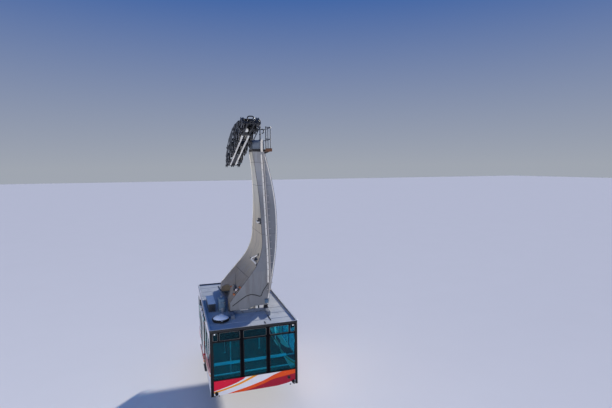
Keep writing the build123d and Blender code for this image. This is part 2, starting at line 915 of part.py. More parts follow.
def door_glass(side, direction):
    x = door_faces(side)
    inset = (door_thickness - pane_thickness) / 2
    return along_x(door_window(direction), x[0] + inset, x[1] - inset)


def door_rails():
    # Above each doorway a plate with a lip that carries the leaves, below it one with a lip that guides them
    rails = []
    reach = doorway_width / 2 + door_overlap + door_travel + rail_end_margin
    guide_top = door_bottom - running_gap
    sill_low = door_bottom - sill_rail_drop
    for side in (-1, 1):
        plate = sorted((side * half_width, side * (half_width + rail_plate)))
        carry = sorted((side * (half_width + rail_plate), side * (half_width + rail_plate + rail_lip)))
        guide = sorted((plate[0], door_faces(side)[1] if side > 0 else door_faces(side)[0], plate[1]))
        low, high = door_rail_top - rail_plate_drop, door_rail_top + rail_plate_rise
        upper = block(plate[0], plate[1], -reach, reach, low, high)
        upper += block(carry[0], carry[1], -reach, reach, door_rail_top - rail_lip_thickness, door_rail_top)
        lower = block(plate[0], plate[1], -reach, reach, sill_low, sill_low + sill_rail_height)
        lower += block(guide[0], guide[-1], -reach, reach, guide_top - rail_lip_thickness, guide_top)
        rails += [upper, lower]
    return rails


def floor_panel():
    x = half_width - wall_thickness
    y = half_length - wall_thickness
    notch = post_width - wall_thickness
    floor = block(-x, x, -y, y, -floor_depth - floor_thickness, -floor_depth)
    for low in (-x, x - notch):
        for near in (-y, y - notch):
            floor -= block(low, low + notch, near, near + notch, -floor_depth - floor_thickness, -floor_depth)
    return floor


def underframe():
    top = -floor_depth - floor_thickness
    half = sole_bar_width / 2
    x = half_width - wall_thickness
    y = half_length - wall_thickness
    spacing = (cabin_length - 2 * cross_bar_inset) / (cross_bar_count - 1)
    rows = (-sole_bar_offset, sole_bar_offset)
    bars = [block(row - half, row + half, -y, y, -cabin_height, top) for row in rows]
    for place in centres(cross_bar_count, spacing):
        bars.append(block(-x, x, place - half, place + half, -cabin_height, top))
    return join(bars)


def interior_handrails():
    rails = []
    radius = handrail_radius
    half = handrail_stand / 2
    for x in (-stanchion_offset, stanchion_offset):
        for y in stanchion_rows:
            rails.append(rod_z(radius, x, y, -floor_depth, wall_top))
    x = half_width - wall_thickness - running_gap
    mullion = (middle_window + mullion_width) / 2
    for end in (-1, 1):
        wall = end * (half_length - wall_thickness)
        post = end * (half_length - post_width)
        y = wall - end * handrail_standoff
        # columns: x of the stand, y of the wall or post that it stands on
        stands = ((handrail_end - x, post), (-mullion, wall), (mullion, wall), (x - handrail_end, post))
        for height in (handrail_height, lower_rail_height):
            z = height - floor_depth
            pieces = [block(-x, x, y - radius, y + radius, z - radius, z + radius)]
            for stand, seat in stands:
                span = sorted((y, seat))
                pieces.append(block(stand - half, stand + half, span[0], span[1], z - half, z + half))
            rails.append(join(pieces))
    return rails


def corner_bumpers():
    # Round buffers on both ends and square guide shoes under the corner posts
    bumpers = []
    x = half_width - post_width - bumper_inset
    for end in (-1, 1):
        y = sorted((end * half_length, end * (half_length + bumper_length)))
        for place in (-x, x):
            bumpers.append(rod_y(bumper_radius, y[0], y[1], place, bumper_inset - cabin_height))
    half = post_width / 2 - guide_shoe_margin
    bottom = -cabin_height - guide_shoe_drop
    for x in (post_width / 2 - half_width, half_width - post_width / 2):
        for y in (post_width / 2 - half_length, half_length - post_width / 2):
            bumpers.append(block(x - half, x + half, y - half, y + half, bottom, -cabin_height))
    return bumpers


def write_carriage():
    rockers = []
    beams = []
    for name, x in rope_sides:
        for number, y in enumerate(centres(wheels_per_rope, wheel_spacing), start=1):
            save(f"{name}_wheel_{number}", on_rope(track_wheel(x, y)))
        rockers += [on_rope(wheel_rocker(x, y)) for y in centres(rocker_count, 2 * wheel_spacing)]
        beams += [on_rope(bogie_beam(x, y)) for y in centres(bogie_count, 4 * wheel_spacing)]
    save("wheel_rockers", *rockers)
    save("bogie_beams", *beams)
    save("main_beams", on_rope(main_beams()))
    save("main_axle", on_rope(main_axle()))
    save("rope_brakes", on_rope(rope_brakes()))
    save("rope_brake_jaws", *[on_rope(jaw) for jaw in rope_brake_jaws()])
    save("end_frames", on_rope(end_frame(-1)), on_rope(end_frame(1)))
    save("haul_rope_sockets", on_rope(haul_rope_socket(-1)), on_rope(haul_rope_socket(1)))
    save("carriage_lamp", on_rope(carriage_lamp()))


def write_cabin():
    nodes = {
        "hanger_arm": [hanger_arm()],
        "hanger_head": [hanger_head()],
        "hanger_feet": hanger_feet(),
        "roof_beams": [roof_beams()],
        "access_platform": [access_platform()],
        "platform_railing": [platform_railing()],
        "hanger_ladder": [hanger_ladder()],
        "cable_duct": [cable_duct()],
        "power_cable": [power_cable()],
        "roof_panel": [roof_panel()],
        "roof_hatch_lid": [roof_hatch_lid()],
        "roof_vent_box": [roof_vent_box()],
        "roof_tank": [roof_tank()],
        "corner_posts": corner_posts(),
        "near_end_frame": [end_frame_panel(-1)],
        "far_end_frame": [end_frame_panel(1)],
        "end_glass": end_glass(),
        "end_skirts": end_skirts(),
        "left_side_frame": [side_frame(-1)],
        "right_side_frame": [side_frame(1)],
        "side_glass": side_glass(),
        "side_skirts": side_skirts(),
        "door_rails": door_rails(),
        "floor_panel": [floor_panel()],
        "underframe": [underframe()],
        "interior_handrails": interior_handrails(),
        "corner_bumpers": corner_bumpers(),
    }
    for side_name, side in (("left", -1), ("right", 1)):
        for end_name, direction in (("near", -1), ("far", 1)):
            nodes[f"{side_name}_{end_name}_door"] = [door_leaf(side, direction)]
            nodes[f"{side_name}_{end_name}_door_glass"] = [door_glass(side, direction)]
    for name, shapes in nodes.items():
        save(name, *[on_cabin(shape) for shape in shapes])


os.makedirs("parts", exist_ok=True)
write_carriage()
write_cabin()
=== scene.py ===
import json
import math
import bpy
import bmesh
from mathutils import Matrix, Vector

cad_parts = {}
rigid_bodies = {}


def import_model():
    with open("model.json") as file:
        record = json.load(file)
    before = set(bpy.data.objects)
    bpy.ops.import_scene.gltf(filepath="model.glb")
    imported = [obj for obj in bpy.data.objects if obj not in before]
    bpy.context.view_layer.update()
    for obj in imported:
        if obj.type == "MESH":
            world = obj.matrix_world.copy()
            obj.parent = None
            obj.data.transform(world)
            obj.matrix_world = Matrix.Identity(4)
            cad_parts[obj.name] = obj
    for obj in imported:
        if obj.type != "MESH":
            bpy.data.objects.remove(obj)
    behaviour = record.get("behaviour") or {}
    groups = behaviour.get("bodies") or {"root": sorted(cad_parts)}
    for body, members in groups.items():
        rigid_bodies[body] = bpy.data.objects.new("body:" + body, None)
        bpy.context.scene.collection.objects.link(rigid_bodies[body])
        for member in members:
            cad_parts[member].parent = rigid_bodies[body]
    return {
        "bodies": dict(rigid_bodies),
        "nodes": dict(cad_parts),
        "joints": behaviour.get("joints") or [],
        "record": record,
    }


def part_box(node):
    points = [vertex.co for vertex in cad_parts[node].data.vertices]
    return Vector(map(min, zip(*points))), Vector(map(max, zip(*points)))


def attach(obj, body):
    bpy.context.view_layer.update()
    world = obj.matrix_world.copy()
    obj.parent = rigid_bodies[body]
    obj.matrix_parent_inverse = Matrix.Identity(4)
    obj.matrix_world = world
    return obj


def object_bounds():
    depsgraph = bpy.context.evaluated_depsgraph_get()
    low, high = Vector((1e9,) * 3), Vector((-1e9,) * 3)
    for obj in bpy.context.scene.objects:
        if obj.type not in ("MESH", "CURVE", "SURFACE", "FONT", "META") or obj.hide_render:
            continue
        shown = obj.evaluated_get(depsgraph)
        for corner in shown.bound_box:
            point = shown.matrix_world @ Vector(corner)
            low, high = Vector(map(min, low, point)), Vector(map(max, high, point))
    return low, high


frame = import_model()
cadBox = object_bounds()
nodes = frame["nodes"]
print("frame loaded:", len(nodes), "nodes")

# Metres. Cabin pieces are drawn about the middle of the roof's top, carriage pieces level along Y.
rimHeight, hatchRadius = 0.045, 0.345
roofLow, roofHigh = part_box("roof_panel")
cabinOrigin = Vector(((roofLow.x + roofHigh.x) / 2, (roofLow.y + roofHigh.y) / 2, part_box("roof_beams")[0].z))
onCabin = Matrix.Translation(cabinOrigin)
wheelCentres = {
    joint["child"]: Vector(joint["pos_m"]) for joint in frame["joints"] if "wheel" in joint["child"]
}
downRope = wheelCentres["left_wheel_8"] - wheelCentres["left_wheel_1"]
onRope = Matrix.Rotation(math.atan2(downRope.z, downRope.y), 4, "X")

body = {
    "halfWidth": (roofHigh.x - roofLow.x) / 2, "halfLength": (roofHigh.y - roofLow.y) / 2, "glass": 3.376,
    "windowTop": -0.45, "windowBottom": -1.96, "transomTop": -0.09, "transomBottom": -0.4,
    "bays": ((-1.64, -0.595), (-0.455, 0.455), (0.595, 1.64)),
    "transoms": ((-1.64, -1.45), (-1.39, -0.595), (-0.455, 0.455), (0.595, 1.39), (1.45, 1.64)),
    "sideBays": ((-3.15, -2.055), (-1.925, -0.83), (0.83, 1.925), (2.055, 3.15)),
    "sideTop": -0.48, "sideBottom": -1.56, "corner": 0.045,
}


def onRoof(name):
    # A node's box in the cabin's drawing frame
    return [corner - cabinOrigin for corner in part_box(name)]


# Camera at the photograph's view

cameraSettings = {
    "place": (-3.09947, -19.51044, -0.85403), "yaw": -0.30745, "pitch": -0.08835, "roll": 0.00783,
    "lens": 25.0, "sensor": 36.0,
}


def addCamera(settings):
    data = bpy.data.cameras.new("camera")
    data.lens = settings["lens"]
    data.sensor_width = settings["sensor"]
    data.clip_end = 1000
    camera = bpy.data.objects.new("camera", data)
    turn = Matrix.Rotation(settings["yaw"], 4, "Z") @ Matrix.Rotation(settings["pitch"], 4, "X")
    turn = turn @ Matrix.Rotation(settings["roll"], 4, "Y") @ Matrix.Rotation(math.pi / 2, 4, "X")
    camera.matrix_world = Matrix.Translation(settings["place"]) @ turn
    bpy.context.scene.collection.objects.link(camera)
    bpy.context.scene.camera = camera


addCamera(cameraSettings)
print("camera set")


# Finishes: every one is a node material in the part's own coordinates


def rgb(red, green, blue):
    # Screen colour, 0 to 255, to the linear colour that the shader takes
    parts = [value / 255 for value in (red, green, blue)]
    return [part / 12.92 if part <= 0.04045 else ((part + 0.055) / 1.055) ** 2.4 for part in parts] + [1.0]


class Finish:
    # A material under construction, with short names for the nodes used here

    def __init__(self, name, **sockets):
        self.material = bpy.data.materials.new(name)
        self.material.use_nodes = True
        self.tree = self.material.node_tree
        self.shader = self.tree.nodes["Principled BSDF"]
        for socket, value in sockets.items():
            self.shader.inputs[socket.replace("_", " ")].default_value = value
        self.place = self.add("ShaderNodeTexCoord").outputs["Object"]
        self.surface = self.add("ShaderNodeNewGeometry")

    def add(self, kind, inputs=None, **settings):
        node = self.tree.nodes.new(kind)
        for name, value in settings.items():
            setattr(node, name, value)
        for socket, value in (inputs or {}).items():
            self.feed(node.inputs[socket], value)
        return node

    def feed(self, socket, value):
        if isinstance(value, bpy.types.NodeSocket):
            self.tree.links.new(value, socket)
        else:
            socket.default_value = value

    def stretched(self, scale, shift=(0, 0, 0)):
        return self.add("ShaderNodeMapping", {"Vector": self.place, "Scale": scale, "Location": shift}).outputs[0]

    def noise(self, scale, detail=4, roughness=0.55, stretch=(1, 1, 1), distortion=0):
        where = self.stretched(stretch)
        sockets = {"Vector": where, "Scale": scale, "Detail": detail, "Roughness": roughness,
                   "Distortion": distortion}
        return self.add("ShaderNodeTexNoise", sockets).outputs["Fac"]

    def cells(self, scale, feature="F1", stretch=(1, 1, 1), output="Distance"):
        node = self.add("ShaderNodeTexVoronoi", {"Vector": self.stretched(stretch), "Scale": scale}, feature=feature)
        return node.outputs[output]

    def span(self, value, low, high, bottom=0.0, top=1.0):
        sockets = {0: value, 1: low, 2: high, 3: bottom, 4: top}
        return self.add("ShaderNodeMapRange", sockets, interpolation_type="SMOOTHSTEP").outputs[0]

    def math(self, operation, first, second=0.0):
        return self.add("ShaderNodeMath", {0: first, 1: second}, operation=operation).outputs[0]

    def times(self, first, second):
        return self.math("MULTIPLY", first, second)

    def mix(self, amount, first, second):
        node = self.add("ShaderNodeMix", data_type="RGBA")
        for number, value in ((0, amount), (6, first), (7, second)):
            self.feed(node.inputs[number], value)
        return node.outputs[2]

    def split(self, vector):
        return self.add("ShaderNodeSeparateXYZ", {0: vector}).outputs

    def normalParts(self):
        turned = self.add("ShaderNodeVectorTransform", {0: self.surface.outputs["Normal"]},
                          vector_type="NORMAL", convert_from="WORLD", convert_to="OBJECT")
        return self.split(turned.outputs[0])

    def curve(self, along, low, high, points):
        # Height of a smooth line through points (along, height), for along between low and high
        heights = [height for _, height in points]
        bottom, top = min(heights), max(heights)
        share = self.add("ShaderNodeMapRange", {0: along, 1: low, 2: high}).outputs[0]
        node = self.add("ShaderNodeFloatCurve", {1: share})
        line = node.mapping.curves[0]
        for number, (place, height) in enumerate(points):
            where = ((place - low) / (high - low), (height - bottom) / (top - bottom))
            if 0 < number < len(points) - 1:
                line.points.new(*where)
            else:
                line.points[-1 if number else 0].location = where
        node.mapping.update()
        return self.add("ShaderNodeMapRange", {0: node.outputs[0], 3: bottom, 4: top}).outputs[0]

    def above(self, height, line, soft=0.004):
        return self.span(self.math("SUBTRACT", height, line), -soft, soft)

    def edges(self, radius, wear=0.6):
        # 1 on sharp edges, broken up by noise, 0 on flat faces
        bevel = self.add("ShaderNodeBevel", {"Radius": radius}, samples=4).outputs[0]
        dot = self.add("ShaderNodeVectorMath", {0: bevel, 1: self.surface.outputs["Normal"]}, operation="DOT_PRODUCT")
        sharp = self.span(dot.outputs["Value"], 0.995, 0.93)
        return self.times(sharp, self.span(self.noise(9, 5), wear - 0.15, wear + 0.1))

    def colour(self, value):
        self.feed(self.shader.inputs["Base Color"], value)

    def rough(self, value, low, high):
        self.feed(self.shader.inputs["Roughness"], self.span(value, 0.2, 0.8, low, high))

    def bump(self, height, distance, strength=0.5, corner=0.004):
        sockets = {"Height": height, "Distance": distance, "Strength": strength}
        if corner:
            sockets["Normal"] = self.add("ShaderNodeBevel", {"Radius": corner}, samples=4).outputs[0]
        self.feed(self.shader.inputs["Normal"], self.add("ShaderNodeBump", sockets).outputs[0])


def dusty(finish, paint, dust, amount):
    # Dust settles on what faces up, in patches
    up = finish.span(finish.normalParts()[2], 0.3, 1.0)
    patches = finish.span(finish.noise(2.2, 6, 0.65), 0.3, 0.75)
    return finish.mix(finish.times(finish.times(up, patches), amount), paint, dust)


def streaks(finish, density=7.0, low=0.5, high=0.75):
    # Vertical run marks
    return finish.span(finish.noise(density, 5, 0.6, (1, 1, 0.06)), low, high)


def cabinSpot(finish):
    # The shaded place in the cabin's drawing frame
    x, y, z = finish.split(finish.place)
    return (finish.math("SUBTRACT", x, cabinOrigin.x), finish.math("SUBTRACT", y, cabinOrigin.y),
            finish.math("SUBTRACT", z, cabinOrigin.z))


def plainCoat(name, settings):
    # Paint in two tones, then spots and runs, dust and worn edges where the settings have them
    finish = Finish(name, **settings.get("sockets", {}))
    paint = finish.mix(finish.noise(*settings["grain"]), *(rgb(*tone) for tone in settings["tones"]))
    if "spots" in settings:
        grain, low, high, tone = settings["spots"]
        paint = finish.mix(finish.span(finish.noise(*grain), low, high), paint, rgb(*tone))
    if "runs" in settings:
        density, share, tone = settings["runs"]
        paint = finish.mix(finish.times(streaks(finish, density), share), paint, rgb(*tone))
    if "dust" in settings:
        tone, share = settings["dust"]
        paint = dusty(finish, paint, rgb(*tone), share)
    if "edge" in settings:
        radius, tone = settings["edge"]
        paint = finish.mix(finish.edges(radius, 0.5), paint, rgb(*tone))
    finish.colour(paint)
    grain, low, high = settings["rough"]
    finish.rough(finish.noise(*grain), low, high)
    grain, distance, strength = settings["bump"]
    finish.bump(finish.noise(*grain), distance, strength)
    return finish.material


plainCoats = {
    "dullSteel": {
        "sockets": {"Metallic": 0.45}, "grain": (6, 5), "tones": ((62, 64, 70), (98, 100, 106)),
        "spots": ((12, 6, 0.7), 0.6, 0.72, (64, 50, 42)), "dust": ((140, 142, 148), 0.35),
        "rough": ((14, 4), 0.36, 0.58), "bump": ((110, 3), 0.0006, 0.3),
    },
    "weldLine": {
        "sockets": {"Specular_IOR_Level": 0.3}, "grain": (12, 5), "tones": ((58, 52, 52), (96, 88, 86)),
        "rough": ((20, 4), 0.5, 0.75), "bump": ((120, 3), 0.001, 0.4),
    },
    "paleEdge": {
        "sockets": {"Coat_Weight": 0.1}, "grain": (4, 5), "tones": ((232, 222, 206), (252, 246, 236)),
        "runs": (9.0, 0.18, (140, 128, 120)),
        "rough": ((16, 4), 0.35, 0.55), "bump": ((80, 4), 0.0006, 0.3),
    },
    "ladderPaint": {
        "sockets": {"Coat_Weight": 0.05}, "grain": (5, 5), "tones": ((166, 158, 152), (192, 184, 176)),
        "spots": ((12, 6, 0.7), 0.58, 0.72, (112, 84, 66)),
        "rough": ((14, 4), 0.4, 0.6), "bump": ((90, 4), 0.0006, 0.3),
    },
    "darkSteel": {
        "sockets": {"Metallic": 0.3}, "grain": (5, 5), "tones": ((22, 23, 26), (44, 45, 49)),
        "dust": ((104, 106, 112), 0.5), "edge": (0.005, (132, 132, 136)),
        "rough": ((12, 4), 0.38, 0.6), "bump": ((120, 3), 0.0006, 0.3),
    },
    "rubber": {
        "sockets": {"Specular_IOR_Level": 0.35}, "grain": (8, 5), "tones": ((8, 8, 10), (20, 20, 23)),
        "dust": ((80, 80, 84), 0.35),
        "rough": ((20, 4), 0.62, 0.85), "bump": ((220, 3), 0.0006, 0.4),
    },
    "beamPaint": {
        "sockets": {"Coat_Weight": 0.05}, "grain": (3, 6, 0.65), "tones": ((88, 98, 114), (128, 136, 148)),
        "spots": ((8, 6, 0.7), 0.54, 0.7, (58, 56, 56)), "edge": (0.006, (176, 178, 182)),
        "rough": ((9, 4), 0.4, 0.62), "bump": ((70, 4), 0.0008, 0.3),
    },
    "boxPaint": {
        "sockets": {"Coat_Weight": 0.1}, "grain": (4, 6), "tones": ((64, 92, 116), (96, 122, 144)),
        "runs": (12.0, 0.4, (50, 60, 72)), "dust": ((150, 162, 172), 0.35),
        "rough": ((9, 4), 0.36, 0.55), "bump": ((90, 3), 0.0006, 0.3),
    },
    "orangePaint": {
        "sockets": {"Coat_Weight": 0.1}, "grain": (5, 5), "tones": ((150, 76, 34), (188, 108, 58)),
        "spots": ((9, 6, 0.7), 0.56, 0.68, (120, 64, 36)), "dust": ((150, 132, 120), 0.4),
        "edge": (0.004, (96, 72, 60)), "rough": ((11, 4), 0.4, 0.62), "bump": ((80, 4), 0.0008, 0.3),
    },
    "dimRim": {
        "sockets": {"Metallic": 0.2}, "grain": (7, 5), "tones": ((74, 68, 64), (118, 110, 104)),
        "rough": ((14, 4), 0.35, 0.55), "bump": ((90, 3), 0.0004, 0.2),
    },
    "brightRim": {
        "sockets": {"Metallic": 0.6}, "grain": (7, 5), "tones": ((176, 180, 186), (232, 234, 238)),
        "rough": ((14, 4), 0.25, 0.45), "bump": ((90, 3), 0.0004, 0.2),
    },
    "padGrey": {
        "grain": (6, 5), "tones": ((238, 242, 240), (254, 254, 252)),
        "rough": ((18, 4), 0.45, 0.7), "bump": ((150, 3), 0.0006, 0.3),
    },
    "paleRubber": {
        "grain": (10, 5), "tones": ((196, 176, 176), (226, 214, 214)),
        "rough": ((20, 4), 0.5, 0.7), "bump": ((140, 3), 0.0008, 0.3),
    },
}


def carriagePaint():
    finish = Finish("carriagePaint", Metallic=0.0, Coat_Weight=0.12, Coat_Roughness=0.3)
    base = finish.mix(finish.noise(3.5, 5), rgb(14, 15, 18), rgb(32, 33, 37))
    grease = finish.span(finish.noise(1.6, 6, 0.7, (1, 1, 0.35)), 0.55, 0.72)
    base = finish.mix(grease, base, rgb(14, 11, 9))
    base = dusty(finish, base, rgb(86, 86, 92), 0.5)
    finish.colour(finish.mix(finish.edges(0.006, 0.5), base, rgb(112, 112, 116)))
    finish.rough(grease, 0.55, 0.25)
    finish.bump(finish.noise(160, 3), 0.0008, 0.35)
    return finish.material


def wheelSteel():
    finish = Finish("wheelSteel", Metallic=0.85)
    side = finish.math("ABSOLUTE", finish.normalParts()[0])
    worn = finish.span(side, 0.97, 0.7)
    brushed = finish.noise(60, 3, 0.6)
    paint = finish.mix(finish.noise(6, 5), rgb(34, 36, 40), rgb(58, 60, 65))
    bright = finish.mix(brushed, rgb(128, 130, 134), rgb(176, 178, 182))
    grease = finish.span(finish.noise(4, 6, 0.7), 0.5, 0.7)
    finish.colour(finish.mix(worn, finish.mix(grease, paint, rgb(18, 15, 12)), bright))
    finish.rough(finish.mix(worn, grease, brushed), 0.5, 0.28)
    finish.bump(brushed, 0.0006, 0.3)
    return finish.material


def galvanised():
    finish = Finish("galvanised", Metallic=0.75)
    spangle = finish.cells(55, output="Color")
    tone = finish.mix(finish.split(spangle)[0], rgb(150, 154, 160), rgb(196, 200, 205))
    white = finish.span(finish.noise(2.5, 6, 0.7), 0.5, 0.75)
    tone = finish.mix(finish.times(white, 0.5), tone, rgb(212, 214, 216))
    tone = finish.mix(finish.times(streaks(finish), 0.35), tone, rgb(104, 96, 88))
    finish.colour(tone)
    finish.rough(finish.split(spangle)[1], 0.34, 0.52)
    finish.bump(finish.noise(90, 3), 0.0006, 0.3)
    return finish.material


def railPaint():
    # Cream rails between dark brackets
    finish = Finish("railPaint", Coat_Weight=0.1)
    x, y, z = finish.split(finish.place)
    across = finish.math("ABSOLUTE", x)
    turn = math.atan2(downRope.z, downRope.y)
    along = finish.math("ADD", finish.times(y, math.cos(turn)), finish.times(z, math.sin(turn)))
    rail = finish.times(finish.span(across, 0.1, 0.104), finish.span(across, 0.172, 0.168))
    rail = finish.times(rail, finish.span(along, -1.5, -1.46))
    cream = finish.mix(finish.noise(5, 5), rgb(244, 238, 226), rgb(255, 252, 244))
    cream = finish.mix(finish.span(finish.noise(9, 6, 0.7), 0.6, 0.74), cream, rgb(96, 84, 72))
    dark = finish.mix(finish.noise(5, 5), rgb(16, 17, 20), rgb(38, 39, 43))
    finish.colour(finish.mix(rail, dark, cream))
    finish.rough(finish.noise(12, 4), 0.38, 0.6)
    finish.bump(finish.noise(110, 3), 0.0006, 0.3)
    return finish.material


def hangerPaintAndLight():
    # Paint with painted light: the left face is a warm lit copy that darkens towards the foot as painted shade, the
    # near and far faces a cooler painted-shade copy, lighter towards the top
    finish = Finish("hangerPaintAndLight", Coat_Weight=0.1, Coat_Roughness=0.35)
    z = cabinSpot(finish)[2]
    clouds = finish.noise(0.9, 7, 0.62, (1, 1, 0.5))
    high = finish.mix(clouds, rgb(180, 174, 158), rgb(226, 219, 200))
    middle = finish.mix(clouds, rgb(172, 157, 132), rgb(216, 200, 170))
    low = finish.mix(clouds, rgb(112, 96, 74), rgb(148, 128, 102))
    leftFacePaintedLight = finish.mix(finish.span(z, 3.4, 5.6), finish.mix(finish.span(z, 1.0, 2.6), low, middle), high)
    nearFarPaintedShade = finish.mix(finish.span(z, 4.4, 5.8), finish.mix(clouds, rgb(108, 108, 109), rgb(146, 145, 145)),
                      finish.mix(clouds, rgb(135, 134, 134), rgb(177, 176, 175)))
    aside = finish.math("ABSOLUTE", finish.normalParts()[1])
    # Near and far faces take the painted-shade copy, the left face the painted-light copy
    base = finish.mix(finish.span(aside, 0.5, 0.8), leftFacePaintedLight, nearFarPaintedShade)
    # Faces that look down, under the arch, are painted paler: painted light where shade falls
    base = finish.mix(finish.span(finish.normalParts()[2], -0.12, -0.4), base, rgb(176, 160, 136))
    runs = streaks(finish, 5.0, 0.48, 0.72)
    base = finish.mix(finish.times(runs, 0.5), base, rgb(98, 88, 82))
    pale = streaks(finish, 9.0, 0.6, 0.8)
    base = finish.mix(finish.times(pale, 0.35), base, rgb(190, 184, 182))
    rust = finish.span(finish.noise(14, 7, 0.75), 0.66, 0.74)
    base = finish.mix(finish.times(rust, 0.6), base, rgb(104, 62, 38))
    base = dusty(finish, base, rgb(176, 172, 170), 0.5)
    finish.colour(finish.mix(finish.edges(0.012, 0.45), base, rgb(196, 194, 196)))
    finish.rough(clouds, 0.42, 0.6)
    finish.bump(finish.noise(40, 6, 0.7), 0.0015, 0.4, 0.01)
    return finish.material


collarTop, boardFoot = 7.1, 6.975


def headPaint():
    # Dark grey-blue, darker still on the collar below the head
    finish = Finish("headPaint", Coat_Weight=0.1)
    z = cabinSpot(finish)[2]
    base = finish.mix(finish.noise(4, 6), rgb(84, 93, 104), rgb(118, 127, 138))
    base = finish.mix(finish.times(streaks(finish, 9.0), 0.4), base, rgb(40, 40, 44))
    collar = finish.mix(finish.noise(9, 5), rgb(18, 16, 18), rgb(34, 30, 30))
    base = finish.mix(finish.above(z, collarTop, 0.01), collar, base)
    finish.colour(dusty(finish, base, rgb(120, 124, 132), 0.35))
    finish.rough(finish.noise(12, 4), 0.4, 0.6)
    finish.bump(finish.noise(90, 4), 0.0008, 0.3)
    return finish.material


def platformPaint():
    # Orange-brown edge boards over a dark floor and gussets
    finish = Finish("platformPaint", Coat_Weight=0.05)
    z = cabinSpot(finish)[2]
    boards = finish.mix(finish.noise(7, 5), rgb(90, 54, 28), rgb(120, 76, 42))
    boards = finish.mix(finish.span(finish.noise(10, 6, 0.7), 0.55, 0.7), boards, rgb(64, 42, 32))
    dark = finish.mix(finish.noise(6, 5), rgb(24, 24, 27), rgb(46, 45, 48))
    finish.colour(finish.mix(finish.above(z, boardFoot), dark, boards))
    finish.rough(finish.noise(11, 4), 0.45, 0.65)
    finish.bump(finish.noise(80, 4), 0.0008, 0.3)
    return finish.material


def roofPaint():
    # Pale above, black on the upright faces
    finish = Finish("roofPaint", Coat_Weight=0.05)
    stain = finish.noise(0.8, 8, 0.66)
    base = finish.mix(stain, rgb(140, 152, 166), rgb(184, 190, 198))
    soot = finish.span(finish.noise(2.6, 8, 0.72, (1, 0.45, 1)), 0.5, 0.72)
    base = finish.mix(finish.times(soot, 0.55), base, rgb(128, 132, 142))
    spots = finish.span(finish.noise(26, 4, 0.6), 0.64, 0.72)
    base = finish.mix(finish.times(spots, 0.6), base, rgb(104, 98, 94))
    grease = finish.span(finish.noise(1.3, 6, 0.7, (2.4, 0.5, 1)), 0.62, 0.72)
    base = finish.mix(finish.times(grease, 0.5), base, rgb(80, 70, 62))
    x, y, z = cabinSpot(finish)
    hatchLow, hatchHigh = onRoof("roof_hatch_lid")
    across = finish.math("SUBTRACT", x, (hatchLow.x + hatchHigh.x) / 2)
    along = finish.math("SUBTRACT", y, hatchHigh.y - hatchRadius)
    reach = finish.math("ADD", finish.times(across, across), finish.times(along, along))
    raised = finish.times(finish.span(reach, 0.2, 0.19), finish.span(z, 0.004, 0.008))
    level = finish.span(finish.math("ABSOLUTE", finish.normalParts()[2]), 0.3, 0.6)
    level = finish.times(level, finish.math("SUBTRACT", 1.0, raised))
    finish.colour(finish.mix(level, finish.mix(finish.noise(5, 5), rgb(4, 5, 8), rgb(14, 15, 20)), base))
    finish.rough(stain, 0.4, 0.62)
    finish.bump(finish.noise(70, 5, 0.6), 0.001, 0.35)
    return finish.material


def hatchPaint():
    # A pale, clean dome
    finish = Finish("hatchPaint", Coat_Weight=0.5, Coat_Roughness=0.15)
    base = finish.mix(finish.noise(1.8, 7, 0.6), rgb(222, 230, 240), rgb(250, 251, 253))
    smudge = finish.span(finish.noise(5, 7, 0.7), 0.6, 0.76)
    base = finish.mix(finish.times(smudge, 0.4), base, rgb(140, 150, 166))
    base = finish.mix(finish.span(finish.noise(38, 4), 0.7, 0.78), base, rgb(96, 98, 104))
    level = finish.span(finish.normalParts()[2], 0.55, 0.7)
    finish.colour(finish.mix(level, rgb(12, 13, 16), base))
    finish.rough(finish.noise(4, 5), 0.22, 0.4)
    finish.bump(finish.noise(3, 3), 0.004, 0.2)
    return finish.material


def ventPaintAndShade():
    # Lit and shaded copies: a pale lid, its paint made whiter as painted light, over sides painted dark blue-grey for
    # the dark louvres and their painted shade
    finish = Finish("ventPaintAndShade", Coat_Weight=0.1)
    level = finish.span(finish.normalParts()[2], 0.4, 0.7)
    top = finish.mix(finish.noise(3, 6, 0.65), rgb(226, 232, 236), rgb(252, 250, 246))
    smudge = finish.span(finish.noise(7, 6, 0.7), 0.55, 0.72)
    top = finish.mix(finish.times(smudge, 0.5), top, rgb(96, 104, 118))
    sides = finish.mix(finish.noise(5, 5), rgb(20, 26, 36), rgb(46, 56, 72))
    finish.colour(finish.mix(level, sides, top))
    finish.rough(finish.noise(9, 4), 0.34, 0.55)
    finish.bump(finish.noise(60, 4), 0.0008, 0.3)
    return finish.material


def frameBlack():
    finish = Finish("frameBlack", Specular_IOR_Level=0.05)
    base = finish.mix(finish.noise(4, 5), rgb(2, 2, 6), rgb(8, 8, 14))
    film = finish.times(streaks(finish, 9.0, 0.52, 0.8), 0.07)
    base = finish.mix(film, base, rgb(50, 52, 60))
    finish.colour(dusty(finish, base, rgb(80, 82, 88), 0.3))
    finish.rough(film, 0.3, 0.55)
    finish.bump(finish.noise(30, 3), 0.0006, 0.25, 0.006)
    return finish.material


liveryColours = {
    "white": rgb(236, 230, 228), "red": rgb(216, 6, 44), "crimson": rgb(166, 0, 40),
    "orange": rgb(236, 78, 6), "yellow": rgb(255, 160, 4), "black": rgb(4, 4, 7),
}

